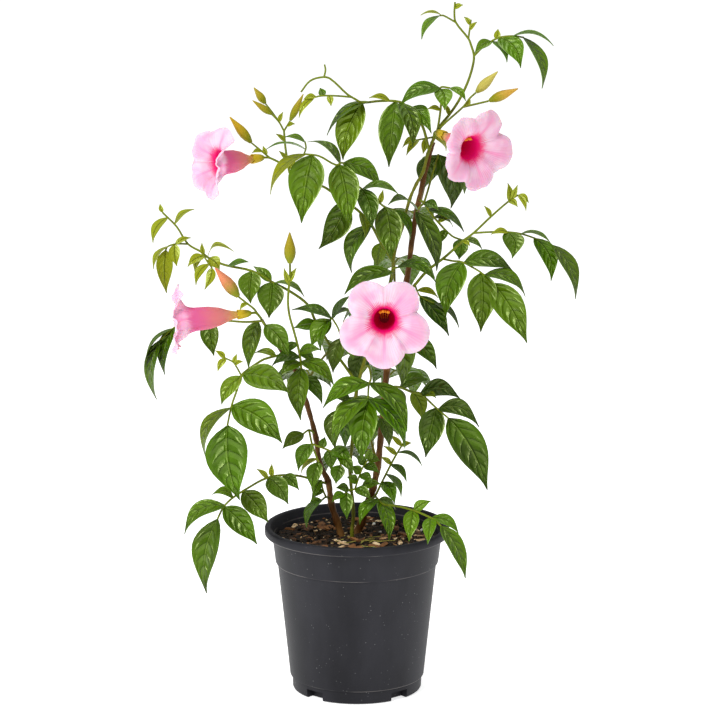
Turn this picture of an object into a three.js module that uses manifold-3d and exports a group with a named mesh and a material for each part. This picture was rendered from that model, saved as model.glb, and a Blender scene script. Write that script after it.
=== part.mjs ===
// A bower vine in a plastic nursery pot. Millimetres, +Z up, origin at the centre of the pot's foot,
// the side that faces the viewer is -Y.
import * as THREE from 'three';
import { mergeVertices } from 'three/addons/utils/BufferGeometryUtils.js';
import Module from 'manifold-3d';

const wasm = await Module();
wasm.setup();
const { Manifold } = wasm;

// Driving dimensions (mm).
const POT_HEIGHT = 138.5;
const POT_RIM_RADIUS = 76.5;
const POT_FOOT_RADIUS = 52.6;
const POT_SEGMENTS = 30;
const LIP_HEIGHT = 7;
const COLLAR_BOTTOM = 108;
const SKIRT_TOP = 11;
const WALL = 1.6;
const NOTCH_WIDTH = 17;
const NOTCH_HEIGHT = 7.5;
const NOTCH_BACK = 46; // how far from the axis a notch starts
const WALL_FOOT_RADIUS = 55.8; // of the outside, just over the skirt
const WALL_TOP_RADIUS = 66.1; // of the outside, just under the collar
const SOIL_LEVEL = 128;
const SOIL_CHIPS = 3;
const GAP = 0.3;
const FINEST = 0.15; // details smaller than this are smoothed away where solids join

const BLADE_THICKNESS = 0.7;
const ROOT_SUNK = 0.15; // how far a blade's root lies past the middle of its twig
const BLADE_ARCH = 0.05; // rise of the midrib towards the viewer over the length
const BLADE_BOW = 0.12; // how far a drooping blade bows up and outward, over its length
const GROWN_RATIO = 0.42; // narrowest true width over length of a grown leaflet
const SMALL_WIDTH = 15.5; // px, narrower leaflets have fewer stations
const BRACT_WIDTH = 6.5; // px, bracts and unfolding leaflets have one
const BRACT_RATIO = 0.24; // narrowest true width over length of a bract
const TWIG_SIDES = 3;
const CANE_SIDES = 6;

const CALYX_LENGTH = 11;
const COROLLA_LENGTH = 45; // from the foot of the calyx to the mouth, as drawn below
const PETAL_THICKNESS = 0.8;

// The viewer.
// The places of stems and leaves are read in a picture 720 px square, seen from this point.
const EYE = new THREE.Vector3(2.5, -2600, 826);
const PITCH = THREE.MathUtils.degToRad(11.9);
const FOCAL = 3240;
const CENTRE = 360;
const MM_PER_PX = 0.8306;
const DEPTH_STRETCH = 1.5; // how much deeper the plant is than its depths as drawn

const UP = new THREE.Vector3(0, 0, 1);
const SKYWARD = new THREE.Vector3(0, -0.86, 0.5);

/** The point seen at a place in the picture, at a depth behind the pot's axis (mm). */
function onSight(x, y, depth) {
  const rise = (CENTRE - y) / FOCAL;
  const away = Math.cos(PITCH) + Math.sin(PITCH) * rise;
  const reach = (depth - EYE.y) / away;
  return new THREE.Vector3(
    EYE.x + (reach * (x - CENTRE)) / FOCAL,
    depth,
    EYE.z + reach * (Math.cos(PITCH) * rise - Math.sin(PITCH)),
  );
}

/** The point of the plant at a drawn place: picture x, y and drawn depth. */
function at([x, y, drawnDepth]) {
  return onSight(x, y, drawnDepth * DEPTH_STRETCH);
}

/** A repeatable number from 0 to 1 for a place in a row of repeats. */
function chance(seed) {
  const value = Math.sin(seed * 12.9898 + 4.1414) * 43758.5453;
  return value - Math.floor(value);
}

// Solids.
function solidOf(points, triangles) {
  const mesh = new wasm.Mesh({
    numProp: 3,
    vertProperties: new Float32Array(points.flatMap((point) => [point.x, point.y, point.z])),
    triVerts: new Uint32Array(triangles.flat()),
  });
  return new Manifold(mesh);
}

function solidOfGeometry(geometry) {
  const bare = geometry.clone();
  bare.deleteAttribute('normal');
  bare.deleteAttribute('uv');
  const merged = mergeVertices(bare, 1e-4);
  return new Manifold(
    new wasm.Mesh({
      numProp: 3,
      vertProperties: new Float32Array(merged.attributes.position.array),
      triVerts: new Uint32Array(merged.index.array),
    }),
  );
}

/** A closed solid through rings of as many points, each wound to the right about the way it goes. */
function throughRings(rings, firstTip = null, lastTip = null) {
  const points = rings.flat();
  const count = rings[0].length;
  const triangles = [];
  for (let ring = 0; ring < rings.length - 1; ring += 1) {
    for (let corner = 0; corner < count; corner += 1) {
      const next = (corner + 1) % count;
      const a = ring * count + corner;
      const b = ring * count + next;
      triangles.push([a, b, b + count], [a, b + count, a + count]);
    }
  }
  const last = (rings.length - 1) * count;
  const firstAt = points.push(firstTip ?? middleOf(rings[0])) - 1;
  const lastAt = points.push(lastTip ?? middleOf(rings[rings.length - 1])) - 1;
  for (let corner = 0; corner < count; corner += 1) {
    const next = (corner + 1) % count;
    triangles.push([firstAt, next, corner], [lastAt, last + corner, last + next]);
  }
  return solidOf(points, triangles);
}

function middleOf(points) {
  const sum = points.reduce((total, point) => total.add(point), new THREE.Vector3());
  return sum.divideScalar(points.length);
}

function fuse(solids) {
  return solids.slice(1).reduce((whole, next) => whole.add(next), solids[0]);
}

function largestBody(solid) {
  const bodies = solid.decompose();
  return bodies.reduce((best, body) => (body.volume() > best.volume() ? body : best));
}

// Stems.
/** Points with their direction and two square directions, carried along a path without a twist. */
function framesAlong(points) {
  let side = null;
  return points.map((point, index) => {
    const before = points[Math.max(index - 1, 0)];
    const after = points[Math.min(index + 1, points.length - 1)];
    const along = after.clone().sub(before).normalize();
    const seed = side ?? (Math.abs(along.x) < 0.8 ? new THREE.Vector3(1, 0, 0) : UP);
    side = seed.clone().addScaledVector(along, -seed.dot(along)).normalize();
    return { point, along, side, over: along.clone().cross(side) };
  });
}

function ringAt(frame, radius, sides, turn = 0) {
  const ring = [];
  for (let corner = 0; corner < sides; corner += 1) {
    const angle = turn + (corner * 2 * Math.PI) / sides;
    ring.push(
      frame.point
        .clone()
        .addScaledVector(frame.side, radius * Math.cos(angle))
        .addScaledVector(frame.over, radius * Math.sin(angle)),
    );
  }
  return ring;
}

/** A round stem that thins evenly from its first to its last radius. */
function stem(points, firstRadius, lastRadius, sides) {
  const frames = framesAlong(points);
  const rings = frames.map((frame, index) => {
    const share = index / (frames.length - 1);
    return ringAt(frame, firstRadius + (lastRadius - firstRadius) * share, sides);
  });
  return throughRings(rings);
}

/** The nearest point of a drawn path to a place in the picture, with the path's depth there. */
function nearestOn(path, x, y) {
  let best = { distance: Infinity, place: null };
  for (let index = 0; index < path.length - 1; index += 1) {
    const [ax, ay, ad] = path[index];
    const [bx, by, bd] = path[index + 1];
    const length = (bx - ax) ** 2 + (by - ay) ** 2;
    const raw = length === 0 ? 0 : ((x - ax) * (bx - ax) + (y - ay) * (by - ay)) / length;
    const share = Math.min(Math.max(raw, 0), 1);
    const place = [ax + (bx - ax) * share, ay + (by - ay) * share, ad + (bd - ad) * share];
    const distance = Math.hypot(place[0] - x, place[1] - y);
    if (distance < best.distance) {
      best = { distance, place };
    }
  }
  return best;
}

function nearestOfAll(paths, x, y) {
  const found = paths.map((path) => nearestOn(path, x, y));
  return found.reduce((best, one) => (one.distance < best.distance ? one : best)).place;
}

// Leaflets.
const GROWN_STATIONS = [
  [0.17, 0.7],
  [0.42, 1.0],
  [0.74, 0.6],
];
const SMALL_STATIONS = [
  [0.26, 0.92],
  [0.66, 0.76],
];
const BRACT_STATIONS = [[0.42, 1.0]];

function stationsFor(width) {
  if (width < BRACT_WIDTH) {
    return BRACT_STATIONS;
  }
  return width < SMALL_WIDTH ? SMALL_STATIONS : GROWN_STATIONS;
}

/** How far the middle of a drooping leaflet lies up and outward of the line to its tip. */
function bowOf(root, span) {
  const along = span.clone().normalize();
  const outward = 0.6 * THREE.MathUtils.clamp(2 * along.x + root.x / 100, -1, 1);
  const lift = new THREE.Vector3(outward, 0, 1);
  return lift.addScaledVector(along, -lift.dot(along)).multiplyScalar(BLADE_BOW * span.length());
}

/** A leaflet from its root to its tip: a blade arched along its length, as wide as its stations. */
function blade(root, tip, width, face, stations, bow = null) {
  const span = tip.clone().sub(root);
  const length = span.length();
  const along = span.clone().normalize();
  const out = face.clone().addScaledVector(along, -face.dot(along)).normalize();
  const side = out.clone().cross(along);
  const sunk = root.clone().addScaledVector(along, -ROOT_SUNK);
  const rise = (bow ?? bowOf(root, span)).clone().addScaledVector(out, BLADE_ARCH * length);
  const rows = stations.map(([share, wide]) => {
    const middle = root
      .clone()
      .addScaledVector(span, share)
      .addScaledVector(rise, 4 * share * (1 - share));
    const half = (width * wide) / 2;
    return [
      middle.clone().addScaledVector(side, half),
      middle.clone().addScaledVector(side, -half),
    ];
  });
  const middles = [sunk, ...rows.flat(), tip];
  const upper = middles.map((point) => point.clone().addScaledVector(out, BLADE_THICKNESS / 2));
  const lower = middles.map((point) => point.clone().addScaledVector(out, -BLADE_THICKNESS / 2));
  const under = upper.length;
  const end = under - 1;
  const faces = [[0, 2, 1]];
  const rim = [
    [1, 0],
    [0, 2],
  ];
  for (let left = 1; left < end - 2; left += 2) {
    faces.push([left, left + 1, left + 2], [left + 1, left + 3, left + 2]);
    rim.push([left + 2, left], [left + 1, left + 3]);
  }
  faces.push([end - 2, end - 1, end]);
  rim.push([end, end - 2], [end - 1, end]);
  const triangles = faces.flatMap(([a, b, c]) => [
    [a, b, c],
    [a + under, c + under, b + under],
  ]);
  rim.forEach(([a, b]) => triangles.push([b, a, a + under], [b, a + under, b + under]));
  return solidOf([...upper, ...lower], triangles);
}

/** The way a leaflet faces: to the sky and the viewer, turned where it is seen narrower than grown. */
function facing(root, tip, width, ratio) {
  const along = tip.clone().sub(root).normalize();
  const length = tip.distanceTo(root);
  const seen = SKYWARD.clone().addScaledVector(along, -SKYWARD.dot(along)).normalize();
  const trueWidth = Math.max(width, ratio * length);
  const turn = Math.acos(Math.min(width / trueWidth, 1));
  const outward = new THREE.Vector3(Math.sign(along.x) * 0.6, 0, 0.8);
  const oneWay = seen.clone().applyAxisAngle(along, turn);
  const otherWay = seen.clone().applyAxisAngle(along, -turn);
  return { face: oneWay.dot(outward) > otherWay.dot(outward) ? oneWay : otherWay, trueWidth };
}

/** How far a blade's middle lies off the line from its root to its tip, by its place in the picture. */
function bowTo(root, tip, midX, midY) {
  const across = (midX - (root[0] + tip[0]) / 2) * MM_PER_PX;
  const down = (midY - (root[1] + tip[1]) / 2) * MM_PER_PX;
  return new THREE.Vector3(across, -down * Math.sin(PITCH), -down * Math.cos(PITCH));
}

/**
 * A leaflet read in the picture: root x, y, tip x, y, seen width (px), reach of the tip (mm) and,
 * where it doesn't droop by rule, the place of the middle of its midrib.
 */
function pictureLeaflet([x, y, tipX, tipY, width, reach, midX, midY], paths) {
  const rootPlace = nearestOfAll(paths, x, y);
  const root = at(rootPlace);
  const tip = at([tipX, tipY, rootPlace[2] + reach]);
  const ratio = width < BRACT_WIDTH ? BRACT_RATIO : GROWN_RATIO;
  const { face, trueWidth } = facing(root, tip, width * MM_PER_PX, ratio);
  const bow = midX ? bowTo(rootPlace, [tipX, tipY], midX, midY) : null;
  return blade(root, tip, trueWidth, face, stationsFor(width), bow);
}

// Buds and flowers.
const BUD_PROFILE = [
  [0.0, 0.3],
  [0.2, 0.8],
  [0.38, 1.0],
  [0.7, 0.58],
];

/** A closed bud: place of its foot and of its tip, seen width (px), depth of the foot, reach. */
function bud([x, y, tipX, tipY, width, depth, reach]) {
  const foot = at([x, y, depth]);
  const tip = at([tipX, tipY, depth + reach]);
  const frame = framesAlong([foot, tip])[0];
  const rings = BUD_PROFILE.map(([share, wide]) => {
    const point = foot.clone().lerp(tip, share);
    return ringAt({ ...frame, point }, (wide * width * MM_PER_PX) / 2, 6);
  });
  return throughRings(rings, null, tip);
}

// Along the axis, radius (mm): the tube from inside the cup to the mouth.
const TUBE_STATIONS = [
  [7, 2.3],
  [14, 3.3],
  [28, 9.0],
  [COROLLA_LENGTH, 10.4],
];
// Share of the way from the mouth to the limb's edge, and how far it lies before the mouth (mm).
const LIMB_STATIONS = [
  [0.31, 3.0],
  [0.72, 4.0],
  [1.0, 2.0],
];
const MOUTH_RADIUS = 10.4;
const LOBE_RADIUS = 16.5; // of the round outline of one lobe
const LOBE_COLUMNS = [-1, -0.55, 0, 0.55]; // places across a lobe, -1 at the notch before it

function flowerFrame(flower) {
  const foot = at(flower.foot);
  const [x, y, forward] = flower.mouth;
  const mouth = onSight(x, y, foot.y + forward);
  const frame = framesAlong([foot, mouth])[0];
  const tube = foot.distanceTo(mouth) - CALYX_LENGTH;
  const stretch = tube / (COROLLA_LENGTH - CALYX_LENGTH);
  const reach = (along) => Math.min(along, CALYX_LENGTH) + Math.max(along - CALYX_LENGTH, 0) * stretch;
  return { frame, foot, reach };
}

/** The limb at an angle about the axis: how far it reaches (mm) and leans forward (radians). */
function limbAt(flower, degrees) {
  let reach = 0;
  let weights = 0;
  let lean = 0;
  for (const [centre, length, forward] of flower.lobes) {
    const off = THREE.MathUtils.euclideanModulo(degrees - centre + 180, 360) - 180;
    const swing = THREE.MathUtils.degToRad(THREE.MathUtils.clamp(off, -80, 80));
    const middle = length - LOBE_RADIUS;
    const inside = Math.max(LOBE_RADIUS ** 2 - (middle * Math.sin(swing)) ** 2, 0);
    const weight = Math.exp(-((off / 27) ** 2));
    reach = Math.max(reach, middle * Math.cos(swing) + Math.sqrt(inside));
    weights += weight;
    lean += weight * forward;
  }
  return { reach, lean: THREE.MathUtils.degToRad(lean / weights) };
}

/** The angles (degrees) at which the corolla's columns stand. */
function columnAngles(flower) {
  const centres = flower.lobes.map(([angle]) => angle);
  return centres.flatMap((centre, lobe) => {
    const before = lobe === 0 ? centres[centres.length - 1] - 360 : centres[lobe - 1];
    const after = lobe === centres.length - 1 ? centres[0] + 360 : centres[lobe + 1];
    return LOBE_COLUMNS.map((share) => {
      const gap = share < 0 ? centre - before : after - centre;
      return centre + (share * gap) / 2;
    });
  });
}

/** One ring of the corolla: each column's radius and station come from a rule for its angle. */
function corollaRing(flower, placeAt) {
  const { frame, foot, reach } = flowerFrame(flower);
  return columnAngles(flower).map((degrees) => {
    const [station, radius] = placeAt(degrees);
    const angle = THREE.MathUtils.degToRad(degrees);
    return foot
      .clone()
      .addScaledVector(frame.along, reach(station))
      .addScaledVector(frame.side, radius * Math.cos(angle))
      .addScaledVector(frame.over, radius * Math.sin(angle));
  });
}

function limbRing(flower, [share, before], thickness) {
  return corollaRing(flower, (degrees) => {
    const { reach, lean } = limbAt(flower, degrees);
    const out = (reach - MOUTH_RADIUS) * share;
    const forward = before + thickness;
    return [
      COROLLA_LENGTH + out * Math.sin(lean) + forward * Math.cos(lean),
      MOUTH_RADIUS + out * Math.cos(lean) - forward * Math.sin(lean),
    ];
  });
}

/** The trumpet: a thin-walled tube that opens into five rounded lobes. */
function corolla(flower) {
  const tube = TUBE_STATIONS.map((station) => corollaRing(flower, () => station));
  const limb = LIMB_STATIONS.map((station) => limbRing(flower, station, 0));
  const limbInside = LIMB_STATIONS.map((station) => limbRing(flower, station, PETAL_THICKNESS));
  const tubeInside = TUBE_STATIONS.filter((station, index) => index !== 1).map(([along, radius]) =>
    corollaRing(flower, () => [along + (along < CALYX_LENGTH ? 2 : 0.4), radius - PETAL_THICKNESS]),
  );
  return throughRings([...tube, ...limb, ...limbInside.reverse(), ...tubeInside.reverse()]);
}

// Along the axis, radius (mm): up the outside of the cup, over its edge and down inside it.
const CALYX_STATIONS = [
  [0, 1.1],
  [3, 3.0],
  [CALYX_LENGTH, 4.2],
  [CALYX_LENGTH, 3.5],
  [4.4, 2.1],
];

/** The green cup that holds the foot of the trumpet. */
function calyx(flower) {
  const { frame, foot } = flowerFrame(flower);
  const rings = CALYX_STATIONS.map(([along, radius]) =>
    ringAt({ ...frame, point: foot.clone().addScaledVector(frame.along, along) }, radius, 8),
  );
  return throughRings(rings);
}

/** Four stamens that lean on the upper side of the throat, on one disc in the tube. */
function stamens(flower) {
  const { frame, foot, reach } = flowerFrame(flower);
  const place = (along, side, over) =>
    foot
      .clone()
      .addScaledVector(frame.along, reach(along))
      .addScaledVector(frame.side, side)
      .addScaledVector(frame.over, over);
  const upward = frame.over.dot(UP) > 0 ? 1 : -1;
  const disc = throughRings([
    ringAt({ ...frame, point: place(17, 0, 0) }, 4.0, 6),
    ringAt({ ...frame, point: place(18.2, 0, 0) }, 4.3, 6),
  ]);
  const threads = [-3.2, -1.1, 1.1, 3.2].map((side, index) => {
    const end = 39 + (index % 2) * 2;
    const rise = upward * (6.9 - Math.abs(side) * 0.3);
    const thread = stem(
      [place(17.5, side * 0.7, 0), place(28, side, rise * 0.8), place(end, side, rise)],
      0.6,
      0.6,
      3,
    );
    const anther = throughRings(
      [ringAt({ ...frame, point: place(end + 0.5, side, rise) }, 1.3, 4)],
      place(end - 2, side, rise),
      place(end + 3, side, rise),
    );
    return thread.add(anther);
  });
  return fuse([disc, ...threads]);
}

// Pot and soil.
const POT_PROFILE = [
  [0, 0],
  [POT_FOOT_RADIUS, 0],
  [53.5, 1],
  [54.2, SKIRT_TOP],
  [WALL_FOOT_RADIUS, SKIRT_TOP + 0.5],
  [WALL_TOP_RADIUS, COLLAR_BOTTOM - 0.6],
  [67.6, COLLAR_BOTTOM],
  [70.5, POT_HEIGHT - LIP_HEIGHT - 0.2],
  [POT_RIM_RADIUS, POT_HEIGHT - LIP_HEIGHT + 0.3],
  [POT_RIM_RADIUS, POT_HEIGHT - 1.2],
  [75.3, POT_HEIGHT],
  [72.4, POT_HEIGHT],
  [71.2, POT_HEIGHT - 1.2],
];
const NOTCH_ANGLES = [49, 131, 229, 311]; // degrees about the pot
const POT_INSIDE = [
  [70.5 - WALL - 0.4, POT_HEIGHT - LIP_HEIGHT - 1],
  [WALL_TOP_RADIUS - WALL, COLLAR_BOTTOM - 1.4],
  [WALL_FOOT_RADIUS - WALL, SKIRT_TOP + 1],
  [52, 6.4],
  [50, WALL + 0.6],
  [0, WALL + 0.6],
];

/** Four boxes about the foot: from a radius outward, so wide, from a height up to another. */
function footBoxes(inner, outer, width, bottom, top) {
  const box = new THREE.BoxGeometry(outer - inner, width, top - bottom);
  box.translate((inner + outer) / 2, 0, (bottom + top) / 2);
  return NOTCH_ANGLES.map((degrees) =>
    solidOfGeometry(box.clone().rotateZ(THREE.MathUtils.degToRad(degrees))),
  );
}

function pot() {
  const profile = [...POT_PROFILE, ...POT_INSIDE].map(([x, y]) => new THREE.Vector2(x, y));
  const turned = new THREE.LatheGeometry(profile, POT_SEGMENTS).rotateX(Math.PI / 2);
  const pockets = footBoxes(NOTCH_BACK - WALL, 52.2, NOTCH_WIDTH + 2 * WALL, 1, NOTCH_HEIGHT + WALL);
  const notches = footBoxes(NOTCH_BACK, 64, NOTCH_WIDTH, -1, NOTCH_HEIGHT);
  const body = pockets.reduce((whole, pocket) => whole.add(pocket), solidOfGeometry(turned));
  return notches.reduce((whole, notch) => whole.subtract(notch), body);
}

/** One bark chip: a skew slab that lies half sunk in the surface. */
function chip(index) {
  const angle = index * 2.399963 + 0.5;
  const radius = 16 + 44 * Math.sqrt((index + 0.5) / SOIL_CHIPS);
  const size = 4 + 4 * chance(index + 40);
  const slab = new THREE.BoxGeometry(size * 1.8, size, 2.4);
  slab.rotateX(0.35 * (chance(index + 7) - 0.5));
  slab.rotateY(0.5 * (chance(index + 19) - 0.5));
  slab.rotateZ(6.283 * chance(index + 3));
  slab.translate(radius * Math.cos(angle), radius * Math.sin(angle), SOIL_LEVEL + 0.6);
  return solidOfGeometry(slab);
}

/** Potting mix: fills the pot to an uneven surface with bark chips in it. */
function soil() {
  const ringOf = (radius, height, rough, row) => {
    const ring = [];
    for (let step = 0; step < POT_SEGMENTS; step += 1) {
      const angle = (step * 2 * Math.PI) / POT_SEGMENTS;
      const lift = rough * (chance(row * 57 + step) - 0.5);
      ring.push(new THREE.Vector3(radius * Math.cos(angle), radius * Math.sin(angle), height + lift));
    }
    return ring;
  };
  const body = throughRings(
    [
      ringOf(49.5 - GAP, WALL + 0.6 + GAP, 0, 0),
      ringOf(52 - GAP - 0.3, 6.6, 0, 0),
      ringOf(WALL_FOOT_RADIUS - WALL - GAP - 0.2, SKIRT_TOP + 1.3, 0, 0),
      ringOf(WALL_TOP_RADIUS - WALL - GAP - 0.2, COLLAR_BOTTOM - 1.2, 0, 0),
      ringOf(67.6 - GAP, SOIL_LEVEL - 1.5, 0, 0),
      ringOf(56, SOIL_LEVEL, 2.4, 1),
      ringOf(34, SOIL_LEVEL + 0.5, 2.4, 2),
    ],
    new THREE.Vector3(0, 0, WALL + 0.6 + GAP),
    new THREE.Vector3(0, 0, SOIL_LEVEL + 1.5),
  );
  const back = NOTCH_BACK - WALL - GAP;
  const side = NOTCH_WIDTH + 2 * (WALL + GAP);
  const rooms = footBoxes(back, 60, side, 0, NOTCH_HEIGHT + WALL + GAP);
  const bed = rooms.reduce((whole, room) => whole.subtract(room), body);
  const chips = Array.from({ length: SOIL_CHIPS }, (_, index) => chip(index));
  return fuse([bed, ...chips]);
}

// What grows where.
// Paths are picture places with their depth: [x, y (px), depth (mm)].
const CANES = {
  cane_left: {
    radii: [3.3, 1.2],
    path: [
      [345, 575, 0], [341, 536, 0], [337, 521, 0], [331.5, 504.5, 0], [328, 481, -1], [320, 465, -2],
      [316, 438, -4], [306.5, 403, -7], [297, 375, -9], [288.5, 357, -11], [281.5, 351, -12],
      [268, 330, -14], [262, 320, -14],
    ],
  },
  cane_right: {
    radii: [3.4, 1.9],
    path: [
      [352, 575, 6], [356, 534, 6], [361, 524, 6], [367, 505, 5], [373, 488, 4], [377.5, 467, 3],
      [381.5, 430, 2], [383.5, 410, 2], [387, 370, 2], [396, 325, 2], [406.5, 282, 2],
      [413, 232, 2], [417.7, 206, 2], [423, 182, 2], [427, 165, 3], [433, 142, 5],
    ],
  },
  cane_middle: {
    radii: [1.5, 1.3],
    path: [
      [354, 570, -8], [352, 532, -8], [353.5, 513, -8], [350, 470, -8], [352, 446, -8],
      [356, 395, -8], [362, 370, -8], [377, 320, -7], [391.6, 278, -6], [394, 255, -6],
      [402, 228, -6], [409.8, 199, -6], [416.4, 184, -6], [423, 172, -6], [427.7, 154, -6],
      [434, 138, -6],
    ],
  },
};

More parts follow.
